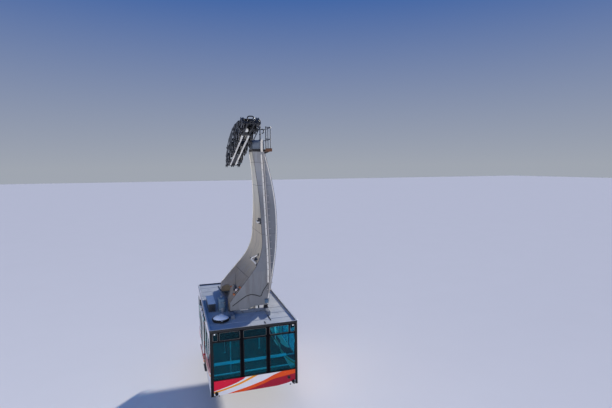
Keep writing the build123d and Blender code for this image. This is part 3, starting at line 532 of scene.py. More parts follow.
# Lines of the livery: place along the panel, height against the roof's top
endLines = {
    "redFoot": ((-1.64, -2.39), (-0.821, -2.2), (-0.5, -2.07), (-0.43, -2.02), (-0.3, -1.9), (1.64, -1.44)),
    "stripeTop": ((-1.64, -2.415), (-0.822, -2.25), (-0.117, -2.0), (0.1, -1.915), (1.64, -1.44)),
    "stripeFoot": ((-1.64, -2.48), (-0.824, -2.325), (0.029, -2.03), (0.3, -1.91), (1.64, -1.45)),
    "orangeTop": ((-1.64, -2.71), (-0.973, -2.545), (-0.213, -2.395), (0.325, -2.255), (0.85, -2.06), (1.64, -1.88)),
    "crimsonTop": ((-1.64, -2.76), (-0.364, -2.56), (0.413, -2.37), (0.717, -2.275), (1.272, -2.205), (1.64, -2.165)),
    "crimsonFoot": ((-1.64, -2.84), (0.41, -2.605), (1.02, -2.565), (1.64, -2.445)),
}
sideLines = {
    "crimsonTop": ((-3.4, -0.8), (-2.7, -1.32), (-1.4, -1.84), (0.4, -2.1), (3.4, -2.16)),
    "crimsonFoot": ((-3.4, -1.62), (-2.6, -1.92), (-1.2, -2.2), (0.6, -2.32), (3.4, -2.3)),
    "stripeTop": ((-3.4, -1.7), (-2.6, -1.99), (-1.2, -2.25), (0.6, -2.36), (3.4, -2.33)),
    "stripeFoot": ((-3.4, -1.78), (-2.6, -2.06), (-1.2, -2.31), (0.6, -2.41), (3.4, -2.37)),
    "orangeTop": ((-3.4, -2.75), (-1.2, -2.66), (1.0, -2.5), (3.4, -2.42)),
}


def endPaint(finish, along, height):
    def line(name):
        return finish.curve(along, -1.64, 1.64, endLines[name])

    tones = liveryColours
    red = finish.mix(finish.span(along, -1.6, -0.4), rgb(232, 14, 56), tones["red"])
    paint = finish.mix(finish.above(height, line("crimsonFoot")), tones["white"], tones["crimson"])
    paint = finish.mix(finish.above(height, line("crimsonTop"), 0.012), paint, tones["orange"])
    paint = finish.mix(finish.above(height, line("orangeTop")), paint, tones["white"])
    paint = finish.mix(finish.above(height, line("stripeFoot")), paint, tones["yellow"])
    paint = finish.mix(finish.above(height, line("stripeTop")), paint, tones["white"])
    return finish.mix(finish.above(height, line("redFoot")), paint, red)


def sidePaintColour(finish, along, height):
    def line(name):
        return finish.curve(along, -3.4, 3.4, sideLines[name])

    tones = liveryColours
    paint = finish.mix(finish.above(height, line("orangeTop")), tones["orange"], tones["white"])
    paint = finish.mix(finish.above(height, line("stripeFoot")), paint, tones["yellow"])
    paint = finish.mix(finish.above(height, line("stripeTop")), paint, tones["white"])
    paint = finish.mix(finish.above(height, line("crimsonFoot")), paint, tones["crimson"])
    return finish.mix(finish.above(height, line("crimsonTop")), paint, tones["white"])


def weathered(finish, paint):
    grime = finish.times(streaks(finish, 6.0, 0.5, 0.8), 0.13)
    paint = finish.mix(grime, paint, rgb(96, 88, 86))
    spray = finish.span(finish.noise(30, 5, 0.7), 0.62, 0.8)
    paint = finish.mix(finish.times(spray, 0.14), paint, rgb(128, 118, 112))
    finish.colour(dusty(finish, paint, rgb(150, 148, 150), 0.5))
    finish.rough(finish.noise(5, 5), 0.28, 0.46)
    finish.bump(finish.noise(2.4, 3), 0.004, 0.12)
    return finish.material


def livery():
    finish = Finish("livery", Coat_Weight=0.12, Coat_Roughness=0.15, Specular_IOR_Level=0.3)
    x, y, z = cabinSpot(finish)
    across = finish.math("ABSOLUTE", finish.normalParts()[0])
    fromOutside = finish.times(x, finish.math("SIGN", finish.times(y, -1)))
    ends = endPaint(finish, fromOutside, z)
    sides = sidePaintColour(finish, y, z)
    return weathered(finish, finish.mix(finish.span(across, 0.6, 0.8), ends, sides))


def sidePaint():
    finish = Finish("sidePaint", Coat_Weight=0.12, Coat_Roughness=0.15, Specular_IOR_Level=0.3)
    _, y, z = cabinSpot(finish)
    return weathered(finish, sidePaintColour(finish, y, z))


def postPaint():
    # Black towards the ends, the side's colours towards the sides
    finish = Finish("postPaint", Coat_Weight=0.12, Coat_Roughness=0.15, Specular_IOR_Level=0.3)
    _, y, z = cabinSpot(finish)
    across = finish.math("ABSOLUTE", finish.normalParts()[0])
    painted = finish.span(across, 0.9, 0.97)
    return weathered(finish, finish.mix(painted, liveryColours["black"], sidePaintColour(finish, y, z)))


def tintedGlass():
    finish = Finish("tintedGlass", Transmission_Weight=0.975, IOR=1.2, Specular_IOR_Level=0.4)
    haze = finish.noise(1.5, 6, 0.6)
    finish.colour(finish.mix(haze, rgb(34, 178, 204), rgb(62, 198, 220)))
    finish.rough(haze, 0.02, 0.07)
    finish.bump(finish.noise(1.2, 2), 0.003, 0.12, 0)
    return finish.material


def floorGrey():
    finish = Finish("floorGrey")
    specks = finish.span(finish.cells(260), 0.2, 0.5)
    finish.colour(finish.mix(specks, rgb(38, 40, 44), rgb(20, 22, 26)))
    finish.rough(finish.noise(6, 4), 0.55, 0.75)
    finish.bump(finish.cells(90), 0.001, 0.4)
    return finish.material


def handrailSteel():
    finish = Finish("handrailSteel", Metallic=0.35)
    brushed = finish.noise(300, 2, 0.6, (1, 1, 0.05))
    finish.colour(finish.mix(brushed, rgb(196, 198, 200), rgb(232, 234, 236)))
    finish.rough(brushed, 0.18, 0.34)
    finish.bump(brushed, 0.0003, 0.2)
    return finish.material


def shining(finish, size, low, high):
    # Ribbed glass that gives its own light
    ribs = finish.cells(size)
    tone = finish.mix(ribs, low, high)
    finish.colour(tone)
    finish.feed(finish.shader.inputs["Emission Color"], tone)
    return ribs


def lampLens():
    finish = Finish("lampLens", Coat_Weight=0.6, Coat_Roughness=0.05, Emission_Strength=0.35)
    ribs = shining(finish, 70, rgb(236, 240, 246), rgb(250, 250, 250))
    finish.rough(ribs, 0.08, 0.2)
    finish.bump(ribs, 0.001, 0.4, 0)
    return finish.material


def tubeLight():
    finish = Finish("tubeLight", Emission_Strength=9.0)
    finish.rough(shining(finish, 60, rgb(226, 240, 250), rgb(250, 252, 255)), 0.2, 0.4)
    return finish.material


finishes = {name: plainCoat(name, settings) for name, settings in plainCoats.items()}
finishes.update({make.__name__: make() for make in (
    carriagePaint, wheelSteel, galvanised, railPaint, hangerPaintAndLight, headPaint, platformPaint, roofPaint, hatchPaint,
    ventPaintAndShade, frameBlack, livery, sidePaint, postPaint, tintedGlass, floorGrey, handrailSteel, lampLens, tubeLight,
)})
nodeFinishes = {
    "carriagePaint": ("main_beams", "bogie_beams", "wheel_rockers", "end_frames", "carriage_lamp",
                      "rope_brake_jaws", "haul_rope_sockets", "main_axle"),
    "ladderPaint": ("hanger_ladder",),
    "paleEdge": ("cable_duct",),
    "railPaint": ("rope_brakes",),
    "dullSteel": ("platform_railing",),
    "platformPaint": ("access_platform",),
    "boxPaint": ("roof_tank",),
    "hangerPaintAndLight": ("hanger_arm",),
    "headPaint": ("hanger_head",),
    "darkSteel": ("hanger_feet", "door_rails", "underframe"),
    "rubber": ("corner_bumpers", "power_cable"),
    "beamPaint": ("roof_beams",),
    "roofPaint": ("roof_panel",),
    "hatchPaint": ("roof_hatch_lid",),
    "ventPaintAndShade": ("roof_vent_box",),
    "frameBlack": ("near_end_frame", "far_end_frame"),
    "livery": ("end_skirts", "side_skirts"),
    "postPaint": ("corner_posts",),
    "sidePaint": ("left_side_frame", "right_side_frame", "left_near_door", "left_far_door", "right_near_door",
                  "right_far_door"),
    "tintedGlass": ("end_glass", "side_glass", "left_near_door_glass", "left_far_door_glass",
                    "right_near_door_glass", "right_far_door_glass"),
    "floorGrey": ("floor_panel",),
    "handrailSteel": ("interior_handrails",),
    "wheelSteel": tuple(wheelCentres),
}


def dress(node, finish):
    for slot in node.material_slots:
        slot.material = finish


for finishName, names in nodeFinishes.items():
    for name in names:
        dress(nodes[name], finishes[finishName])
print("finishes on", sum(len(names) for names in nodeFinishes.values()), "nodes")


# Mesh tools: each adds to a bmesh, in the piece's own drawing frame


def newMeshes(count):
    return [bmesh.new() for _ in range(count)]


def axesOf(direction):
    along = Vector(direction).normalized()
    first = along.orthogonal().normalized()
    return along, first, along.cross(first)


def bridge(mesh, low, high):
    count = max(len(low), len(high))
    for number in range(count):
        after = (number + 1) % count
        corners = [low[number % len(low)], low[after % len(low)], high[after % len(high)], high[number % len(high)]]
        mesh.faces.new(list(dict.fromkeys(corners)))


def lathe(mesh, start, direction, profile, sides=24, closed=False):
    # profile: rows of distance along the axis, radius
    along, first, second = axesOf(direction)
    rings = []
    for distance, radius in profile:
        centre = Vector(start) + along * distance
        turns = [2 * math.pi * number / sides for number in range(sides if radius > 0 else 1)]
        rings.append([mesh.verts.new(centre + (first * math.cos(a) + second * math.sin(a)) * radius) for a in turns])
    for low, high in zip(rings, rings[1:] + rings[:1] if closed else rings[1:]):
        bridge(mesh, low, high)


def rod(mesh, start, end, radius, sides=16, chamfer=0.0):
    length = (Vector(end) - Vector(start)).length
    inner = radius - chamfer
    profile = [(0, 0), (0, inner), (chamfer, radius), (length - chamfer, radius), (length, inner), (length, 0)]
    if not chamfer:
        profile = [(0, 0), (0, radius), (length, radius), (length, 0)]
    lathe(mesh, start, Vector(end) - Vector(start), profile, sides)


def nut(mesh, seat, direction, size):
    # A hexagon nut on its washer, with the bolt's end showing
    lathe(mesh, seat, direction, [(0, 0), (0, size * 1.15), (size * 0.25, size * 1.15), (size * 0.25, 0)], 14)
    hexagon = [(size * 0.25, size), (size * 1.0, size), (size * 1.12, size * 0.86), (size * 1.12, 0)]
    lathe(mesh, seat, direction, hexagon, 6)
    lathe(mesh, seat, direction, [(size * 1.1, size * 0.5), (size * 1.4, size * 0.46), (size * 1.4, 0)], 8)


def block(mesh, low, high):
    # Between any two opposite corners
    middle = [(a + b) / 2 for a, b in zip(low, high)]
    size = [abs(b - a) for a, b in zip(low, high)]
    where = Matrix.Translation(middle) @ Matrix.Diagonal((*size, 1))
    bmesh.ops.create_cube(mesh, size=1, matrix=where)


def slab(mesh, outline, depth):
    # A flat outline of points, carried along depth
    depth = Vector(depth)
    near = [mesh.verts.new(point) for point in outline]
    far = [mesh.verts.new(Vector(point) + depth) for point in outline]
    mesh.faces.new(near)
    mesh.faces.new(far[::-1])
    bridge(mesh, near, far)


def tube(mesh, points, radius, sides=10, closed=False, flat=1.0, up=None):
    # Rings carried along the points, flattened across the route by flat
    points = [Vector(point) for point in points]
    count = len(points)
    rings = []
    side = None
    for number, point in enumerate(points):
        before = points[number - 1] if number or closed else point
        after = points[(number + 1) % count] if number < count - 1 or closed else point
        along = (after - before).normalized()
        if up:
            side = along.cross(Vector(up)).normalized()
        elif side is None:
            side = along.orthogonal().normalized()
        else:
            side = (side - along * side.dot(along)).normalized()
        other = along.cross(side)
        turns = [2 * math.pi * step / sides for step in range(sides)]
        rings.append([
            mesh.verts.new(point + (side * math.cos(a) + other * math.sin(a) * flat) * radius) for a in turns
        ])
    for low, high in zip(rings, rings[1:] + rings[:1] if closed else rings[1:]):
        bridge(mesh, low, high)
    if not closed:
        mesh.faces.new(rings[0])
        mesh.faces.new(rings[-1])


def roundedLoop(low, high, corner, steps=5):
    # Corners (a, b) of a rounded rectangle, in order
    points = []
    centres = ((high[0] - corner, high[1] - corner), (low[0] + corner, high[1] - corner),
               (low[0] + corner, low[1] + corner), (high[0] - corner, low[1] + corner))
    for number, (a, b) in enumerate(centres):
        for step in range(steps + 1):
            turn = math.pi / 2 * (number + step / steps)
            points.append((a + corner * math.cos(turn), b + corner * math.sin(turn)))
    return points


def windowSeal(mesh, low, high, face, axis, radius, flat):
    # A rounded frame of tube on a face that looks along an axis, "x" or "y"
    loop = roundedLoop(low, high, body["corner"])
    points = [(a, face, b) if axis == "y" else (face, a, b) for a, b in loop]
    tube(mesh, points, radius, 8, True, flat, (0, 1, 0) if axis == "y" else (1, 0, 0))


circlePlanes = {"xy": (0, 1), "yz": (1, 2), "xz": (0, 2)}


def circle(centre, radius, count, plane, start=0.0):
    # Points evenly round a circle, the first one a share of a step on
    points = []
    for number in range(count):
        turn = 2 * math.pi * (number + start) / count
        point = Vector(centre)
        first, second = circlePlanes[plane]
        point[first] += radius * math.cos(turn)
        point[second] += radius * math.sin(turn)
        points.append(point)
    return points


def makePiece(name, mesh, rides, finish, place=onCabin, bevel=0.0, angle=35):
    mesh.transform(place)
    bmesh.ops.recalc_face_normals(mesh, faces=mesh.faces)
    data = bpy.data.meshes.new(name)
    mesh.to_mesh(data)
    mesh.free()
    data.materials.append(finishes[finish])
    data.polygons.foreach_set("use_smooth", [True] * len(data.polygons))
    data.set_sharp_from_angle(angle=math.radians(angle))
    piece = bpy.data.objects.new(name, data)
    bpy.context.scene.collection.objects.link(piece)
    if bevel:
        corner = piece.modifiers.new("corner", "BEVEL")
        corner.width = bevel
        corner.segments = 2
        corner.angle_limit = math.radians(40)
        corner.harden_normals = True
    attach(piece, rides)
    return piece


# End faces: gaskets, transom frames, lamps and small fittings

endSettings = {
    "gasket": 0.013, "gasketOut": 0.004, "frame": 0.008, "blinds": ((-1.6, -0.6), (-0.45, 0.45)),
    "blindOut": 3.33, "blindDepth": 0.1, "blindPast": (0.01, 0.02), "lampPlate": (1.47, 1.63),
    "lampPlateFoot": -0.255, "lampPlace": (1.57, -0.13), "lampRadius": 0.028, "socketPlace": (1.37, -2.3),
    "socketRadius": 0.05, "screwRows": (-2.06, -2.52), "screwStep": 0.30652, "screws": 11,
    "screwShape": ((0, 0), (0, 0.013), (0.004, 0.011), (0.006, 0)),
}


def addEndTrim(settings):
    gaskets, frames, lamps, lenses, sockets, screws, blinds = newMeshes(7)
    below, above = settings["blindPast"]
    blindTop = body["transomTop"] + above
    for end in (-1, 1):
        face = end * (body["halfLength"] + settings["gasketOut"])
        front, back = end * settings["blindOut"], end * (settings["blindOut"] - settings["blindDepth"])
        for left, right in settings["blinds"]:
            block(blinds, (-end * left, front, body["transomBottom"] - below), (-end * right, back, blindTop))
        for left, right in body["bays"]:
            windowSeal(gaskets, (left, body["windowBottom"]), (right, body["windowTop"]), face, "y",
                       settings["gasket"], 0.7)
        for left, right in body["transoms"]:
            windowSeal(frames, (left, body["transomBottom"]), (right, body["transomTop"]), face, "y",
                       settings["frame"], 0.6)
        x, z = settings["lampPlace"]
        radius = settings["lampRadius"]
        rim = [(0, radius * 1.5), (0.012, radius * 1.5), (0.02, radius * 1.2), (0.02, radius), (0.0, radius)]
        dome = [(0.0, radius), (0.012, radius * 0.98), (0.022, radius * 0.75), (0.027, radius * 0.35), (0.028, 0)]
        for side in (-1, 1):
            left, right = settings["lampPlate"]
            block(blinds, (side * left, front, settings["lampPlateFoot"]), (side * right, back, blindTop))
            seat = (side * x, end * body["glass"], z)
            lathe(lamps, seat, (0, end, 0), rim, 28)
            lathe(lenses, seat, (0, end, 0), dome, 28)
        x, z = settings["socketPlace"]
        radius = settings["socketRadius"]
        ring = [(0, 0), (0, radius * 1.3), (0.012, radius * 1.3), (0.03, radius), (0.045, radius),
                (0.045, radius * 0.75), (0.01, radius * 0.7), (0.01, 0)]
        lathe(sockets, (-end * x, end * body["halfLength"], z), (0, end, 0), ring, 24)
        for row in settings["screwRows"]:
            for number in range(settings["screws"]):
                place = (settings["screwStep"] * (number - settings["screws"] // 2), end * body["halfLength"], row)
                lathe(screws, place, (0, end, 0), settings["screwShape"], 10)
    makePiece("endGaskets", gaskets, "cabin", "rubber")
    makePiece("transomFrames", frames, "cabin", "dimRim")
    makePiece("transomBlinds", blinds, "cabin", "frameBlack", bevel=0.004)
    makePiece("endLampRims", lamps, "cabin", "darkSteel")
    makePiece("endLampLenses", lenses, "cabin", "lampLens")
    makePiece("controlSockets", sockets, "cabin", "darkSteel")
    makePiece("skirtScrews", screws, "cabin", "livery")


addEndTrim(endSettings)


# Sides: window gaskets, door handles, seals and stops

sideSettings = {
    "gasket": 0.012, "out": 0.003, "doorOuter": 1.848, "doorInner": 1.808, "doorEdge": 0.003, "doorFar": 0.745,
    "doorTop": -0.285, "doorBottom": -2.445, "stile": 0.09, "doorWindowBottom": -1.75, "handleAt": 0.047,
    "handleLow": -1.45, "handleHigh": -1.12, "handleOut": 0.045, "handleRadius": 0.011, "handleBend": 0.02,
    "rivetStep": 0.18, "rivetRows": (-2.05, -2.53, -0.12), "rivetReach": 3.2, "doorway": 0.78,
    "rivetShape": ((0, 0), (0, 0.009), (0.003, 0.007), (0.004, 0)), "stopPlace": 1.44,
    "stopRows": (-0.205, -2.43), "stopSpan": (1.768, 1.802), "stopHalf": 0.02, "edgeStrip": (0.015, 0.045, 0.006),
    "doorScrewRows": (-2.38, -0.33), "doorScrewStart": 0.1, "doorScrewStep": 0.09, "doorScrews": 7,
    "doorScrewShape": ((0, 0), (0, 0.008), (0.003, 0.006), (0.004, 0)),
}


def addSideTrim(settings):
    gaskets, rivets, stops = newMeshes(3)
    for side in (-1, 1):
        for low, high in body["sideBays"]:
            windowSeal(gaskets, (low, body["sideBottom"]), (high, body["sideTop"]),
                       side * (body["halfWidth"] + settings["out"]), "x", settings["gasket"], 0.7)
        steps = int(settings["rivetReach"] / settings["rivetStep"])
        for row in settings["rivetRows"]:
            for number in range(-steps, steps + 1):
                place = number * settings["rivetStep"]
                if abs(place) > settings["doorway"] or row == min(settings["rivetRows"]):
                    lathe(rivets, (side * body["halfWidth"], place, row), (side, 0, 0), settings["rivetShape"], 8)
        inner, outer = settings["stopSpan"]
        half, place = settings["stopHalf"], settings["stopPlace"]
        for end in (-1, 1):
            for height in settings["stopRows"]:
                block(stops, (side * inner, end * place, height - half),
                      (side * outer, end * (place + half), height + half))
    makePiece("sideGaskets", gaskets, "cabin", "rubber")
    makePiece("sideRivets", rivets, "cabin", "sidePaint")
    makePiece("doorStops", stops, "cabin", "rubber", bevel=0.003)


def addDoorHandle(mesh, outer, side, grip, settings):
    out = outer + side * settings["handleOut"]
    bottom, top, bend = settings["handleLow"], settings["handleHigh"], settings["handleBend"]
    route = [(outer, grip, bottom), (out - side * bend / 2, grip, bottom), (out, grip, bottom + bend),
             (out, grip, top - bend), (out - side * bend / 2, grip, top), (outer, grip, top)]
    tube(mesh, route, settings["handleRadius"], 10)
    for height in (bottom, top):
        lathe(mesh, (outer, grip, height), (side, 0, 0),
              [(0, 0), (0, 0.024), (0.005, 0.024), (0.008, 0.014), (0.008, 0)], 16)


def addDoorTrim(settings):
    for sideName, side in (("left", -1), ("right", 1)):
        outer = side * settings["doorOuter"]
        for endName, end in (("near", -1), ("far", 1)):
            seals, handles = newMeshes(2)
            low, high = sorted((end * (settings["doorEdge"] + settings["stile"]),
                                end * (settings["doorFar"] - settings["stile"])))
            for face in (outer, side * settings["doorInner"]):
                windowSeal(seals, (low, settings["doorWindowBottom"]), (high, body["sideTop"]), face, "x",
                           settings["gasket"], 0.35)
            start, finish, thick = settings["edgeStrip"]
            block(seals, (outer, end * start, settings["doorBottom"] + 0.03),
                  (outer + side * thick, end * finish, settings["doorTop"] - 0.02))
            addDoorHandle(handles, outer, side, end * settings["handleAt"], settings)
            for step in range(settings["doorScrews"]):
                place = end * (settings["doorScrewStart"] + step * settings["doorScrewStep"])
                for height in settings["doorScrewRows"]:
                    lathe(handles, (outer, place, height), (side, 0, 0), settings["doorScrewShape"], 8)
            rides = f"{sideName}_{endName}_door"
            makePiece(f"{sideName}{endName.title()}DoorSeals", seals, rides, "rubber")
            makePiece(f"{sideName}{endName.title()}DoorHandle", handles, rides, "handrailSteel")


addSideTrim(sideSettings)
addDoorTrim(sideSettings)
print("cabin faces trimmed")


# Roof: seams, rim, hatch fittings, louvres and tank bands

lidBox, ventBox, tankBox = (onRoof(name) for name in ("roof_hatch_lid", "roof_vent_box", "roof_tank"))
roofSettings = {
    "seams": (-2.72, -2.04, -1.36, 0.68, 1.36, 2.04, 2.72), "shortSeams": (-2.04, -1.36), "shortLeft": -0.62,
    "seamWidth": 0.028, "seamRise": 0.008, "rimWidth": 0.05, "rimRise": 0.006, "rimOut": 0.006, "rimGap": 0.04,
    "strips": ((0.76, -2.92, -2.3), (0.48, -3.3, -2.97)), "stripHalf": 0.02, "stripRise": 0.009,
}
hatchSettings = {
    "place": ((lidBox[0].x + lidBox[1].x) / 2, lidBox[1].y - hatchRadius), "sealRise": 0.0703,
    "gripHalf": 0.09, "gripFoot": 0.212, "gripTop": 0.262, "gripRadius": 0.011, "bolts": 12, "boltIn": 0.035,
    "boltRise": 0.112, "boltSize": 0.009, "latchRise": 0.085,
}
ventSettings = {
    "place": ((ventBox[0] + ventBox[1]) / 2).xy, "half": (0.15, 0.64), "height": 0.338, "blades": 5,
    "bladesFoot": 0.045, "bladeIn": 0.022, "bladeEdge": 0.04, "boltPlace": (0.11, 0.58), "boltSize": 0.009,
    "bladeShape": ((0, 0.012), (0.03, -0.014), (0.033, -0.011), (0, 0.016)),
}
tankSettings = {
    "place": ((tankBox[0] + tankBox[1]) / 2).xy, "half": (0.145, 0.24), "height": 0.6, "bands": (0.14, 0.42),
    "bandOut": 0.004, "bandCorner": 0.092, "bandRadius": 0.018, "foot": (0.05, 0.012, 0.2), "footOut": 0.01,
    "capRise": 0.03, "handleRise": 0.055, "handleHalf": 0.045, "pipeRadius": 0.014,
    "pipe": ((0.1, 0.2, 0.05), (0.16, 0.3, 0.035), (0.17, 0.5, 0.03), (0.17, 0.9, 0.03)),
}


def addRoofTrim(settings):
    seams, rims, strips = newMeshes(3)
    right = body["halfWidth"] - settings["rimWidth"]
    half, rise = settings["seamWidth"] / 2, settings["seamRise"]
    for place in settings["seams"]:
        left = settings["shortLeft"] if place in settings["shortSeams"] else -right
        profile = [(left, place - half, 0), (left, place - half * 0.6, rise), (left, place + half * 0.6, rise),
                   (left, place + half, 0)]
        slab(seams, profile, (right - left, 0, 0))
    width, length = body["halfWidth"], body["halfLength"]
    wall, out, gap = settings["rimWidth"], settings["rimOut"], settings["rimGap"]
    top = rimHeight + settings["rimRise"]
    for end in (-1, 1):
        block(rims, (gap - width, end * (length - wall), rimHeight), (width - gap, end * (length + out), top))
        block(rims, (end * (width - wall), gap - length, rimHeight - 0.001), (end * (width + out), length - gap, top))
        for x, low, high in settings["strips"]:
            thick = settings["stripHalf"]
            block(strips, (-end * x - thick, -end * low, 0), (-end * x + thick, -end * high, settings["stripRise"]))
    makePiece("roofStrips", strips, "cabin", "frameBlack", bevel=0.002)
    makePiece("roofSeams", seams, "cabin", "roofPaint")
    makePiece("roofRim", rims, "cabin", "brightRim", bevel=0.002)


def addHatchTrim(settings):
    x, y = settings["place"]
    radius = hatchRadius
    seal, grip, bolts, latch = newMeshes(4)
    ring = [(0.004, radius - 0.01), (-0.012, radius + 0.002), (0.0, radius + 0.018), (0.03, radius + 0.018),
            (0.044, radius + 0.004), (0.05, radius - 0.018), (0.03, radius - 0.012)]
    lathe(seal, (x, y, settings["sealRise"]), (0, 0, 1), ring, 64, True)
    foot, top, half = settings["gripFoot"], settings["gripTop"], settings["gripHalf"]
    route = [(x - half, y, foot), (x - half + 0.005, y, top - 0.017), (x - half + 0.03, y, top),
             (x + half - 0.03, y, top), (x + half - 0.005, y, top - 0.017), (x + half, y, foot)]
    tube(grip, route, settings["gripRadius"], 10)
    for place in circle((x, y, settings["boltRise"]), radius - settings["boltIn"], settings["bolts"], "xy", 0.5):
        nut(bolts, place, (0, 0, 1), settings["boltSize"])
    # The latch on the roof: foot plate, post and roller
    edge, rise = y + radius, settings["latchRise"]
    block(latch, (x - 0.05, edge + 0.03, 0), (x + 0.05, edge + 0.075, 0.012))
    block(latch, (x - 0.022, edge + 0.036, 0.012), (x + 0.022, edge + 0.06, rise))
    rod(latch, (x - 0.04, edge + 0.048, rise), (x + 0.04, edge + 0.048, rise), 0.012)
    makePiece("hatchSeal", seal, "roof_hatch_lid", "rubber")
    makePiece("hatchGrip", grip, "roof_hatch_lid", "handrailSteel")
    makePiece("hatchBolts", bolts, "roof_hatch_lid", "galvanised")
    makePiece("hatchLatch", latch, "cabin", "darkSteel", bevel=0.002)


def addVentTrim(settings):
    # Sloping louvre blades on both ends and on the right side
    x, y = settings["place"]
    width, length = settings["half"]
    blades = bmesh.new()
    edge = settings["bladeEdge"]
    pitch = (settings["height"] - 2 * settings["bladesFoot"]) / settings["blades"]
    for number in range(settings["blades"]):
        z = settings["bladesFoot"] + (number + 0.5) * pitch
        for end in (-1, 1):
            root = y + end * (length - settings["bladeIn"])
            outline = [(x - width + edge, root + end * out, z + up) for out, up in settings["bladeShape"]]
            slab(blades, outline, (2 * (width - edge), 0, 0))
        root = x + width - settings["bladeIn"]
        outline = [(root + out, y - length + edge, z + up) for out, up in settings["bladeShape"]]
        slab(blades, outline, (0, 2 * (length - edge), 0))
    across, along = settings["boltPlace"]
    for end in (-1, 1):
        for side in (-1, 1):
            nut(blades, (x + side * across, y + end * along, settings["height"] + 0.012), (0, 0, 1),
                settings["boltSize"])
    makePiece("ventBlades", blades, "cabin", "darkSteel")


def addTankTrim(settings):
    x, y = settings["place"]
    width, length = settings["half"]
    bands, out = bmesh.new(), settings["bandOut"]
    for height in settings["bands"]:
        loop = roundedLoop((x - width - out, y - length - out), (x + width + out, y + length + out),
                           settings["bandCorner"], 8)
        tube(bands, [(a, b, height) for a, b in loop], settings["bandRadius"], 6, True, 0.25)
    half, thick, tall = settings["foot"]
    for end in (-1, 1):
        middle = y + end * (length + settings["footOut"])
        block(bands, (x - half, middle - thick, 0), (x + half, middle + thick, tall))
    lathe(bands, (x, y, settings["height"] + settings["capRise"]), (0, 0, 1),
          [(0, 0.05), (0.012, 0.046), (0.016, 0.03), (0.016, 0)], 20)
    level, half = settings["height"] + settings["handleRise"], settings["handleHalf"]
    rod(bands, (x - half, y, level), (x + half, y, level), 0.009)
    tube(bands, [(x + a, y + b, c) for a, b, c in settings["pipe"]], settings["pipeRadius"], 10)
    makePiece("tankBands", bands, "cabin", "galvanised")


addRoofTrim(roofSettings)
addHatchTrim(hatchSettings)
addVentTrim(ventSettings)
addTankTrim(tankSettings)
print("roof fittings made")


# Hanger: outline helpers that follow the frame's curved box, then seams, lugs, covers and head fittings

hanger = {
    "top": 6.98, "foot": 0.17, "toe": -0.75, "toeHeight": 0.511, "heel": 0.915, "heelHeight": 0.28,
    "topHalf": 0.4, "footHalf": 1.72,
    "leftArcs": (((0.585, 6.98), (0.795, 4.9), (0.805, 3.3)), ((0.805, 3.3), (0.64, 2.3), (0.275, 1.7))),
    "rightArc": ((1.13, 6.98), (1.545, 4.25), (1.215, 1.74)),
    "sideArc": ((0.465, 6.1), (1.01, 3.8), (1.55, 1.73)),
    "archHalf": 1.35, "archHeight": 0.62,
}


def circleThrough(first, second, third):
    ax, az = first
    bx, bz = second
    cx, cz = third
    twice = 2 * (ax * (bz - cz) + bx * (cz - az) + cx * (az - bz))
    a, b, c = ax * ax + az * az, bx * bx + bz * bz, cx * cx + cz * cz
    x = (a * (bz - cz) + b * (cz - az) + c * (az - bz)) / twice
    z = (a * (cx - bx) + b * (ax - cx) + c * (bx - ax)) / twice
    return x, z, math.hypot(ax - x, az - z)


def onArc(points, height):
    # The arc's distance at a height, on the side of its circle where its middle point lies
    x, z, radius = circleThrough(*points)
    reach = math.sqrt(max(radius ** 2 - (height - z) ** 2, 0))
    return x + math.copysign(reach, points[1][0] - x)


def leftEdge(height):
    upper, lower = hanger["leftArcs"]
    end, foot = lower[-1]
    if height > foot:
        return onArc(upper if height > lower[0][1] else lower, height)
    share = max(height - hanger["toeHeight"], 0) / (foot - hanger["toeHeight"])
    return hanger["toe"] + (end - hanger["toe"]) * share


def rightEdge(height):
    end, foot = hanger["rightArc"][-1]
    if height > foot:
        return onArc(hanger["rightArc"], height)
    share = (height - hanger["heelHeight"]) / (foot - hanger["heelHeight"])
    return hanger["heel"] + (end - hanger["heel"]) * share


def halfDepth(height):
    arc, foot, wide = hanger["sideArc"], hanger["foot"], hanger["footHalf"]
    (upper, start), (lower, end) = arc[0], arc[-1]
    if height > start:
        return upper + (hanger["topHalf"] - upper) * (height - start) / (hanger["top"] - start)
    if height > end:
        return onArc(arc, height)
    return wide + (lower - wide) * (height - foot) / (end - foot)


def heights(low, high, count):
    return [low + (high - low) * number / (count - 1) for number in range(count)]


def archAt(y):
    radius = (hanger["archHalf"] ** 2 + hanger["archHeight"] ** 2) / (2 * hanger["archHeight"])
    return hanger["foot"] + hanger["archHeight"] - radius + math.sqrt(radius ** 2 - y ** 2)


hangerSettings = {
    "weld": 0.008, "loops": (3.3, 5.45, 6.5), "rimWide": 0.05, "rimFlat": 0.55, "rimIn": 0.03, "rimBelowTop": 0.1,
    "slopeSeam": ((-1.5, 1.5), (1.45, 1.36)), "postSeam": ((0.5, 1.2), (-0.95, 0.93)),
    "lug": (-0.72, 3.86), "vee": ((-1.0, 2.36), (-0.62, 2.07), (-1.42, 2.02)), "veeOut": 0.16,
    "lugShape": ((-0.24, -0.14), (0.3, -0.17), (0.34, 0.1), (-0.22, 0.13)),
    "lugBolts": ((-0.18, 0.09), (0.05, 0.08), (0.27, 0.06), (-0.2, -0.1), (0.25, -0.13)), "lugStuds": (-0.2, 0.22),
    "lugBar": (-0.27, 0.29), "lugBarOut": 0.1, "lugBarSag": 0.05, "lugBarDrop": 0.03,
    "flange": (-0.31, 0.03), "pads": ((0.37, 0.47), (0.53, 0.72)), "padFoot": 0.152, "padGap": (0.475, 0.525),
    "coverRows": (2.6, 4.4, 5.9), "coverSize": (0.14, 0.2), "coverBoltIn": 0.03,
}


def onLeftFace(y, z, out=0.0):
    # A point on the box's left face, or a distance outside it
    slope = (leftEdge(z + 0.01) - leftEdge(z - 0.01)) / 0.02
    return Vector((leftEdge(z), y, z)) + Vector((-1, 0, slope)).normalized() * out


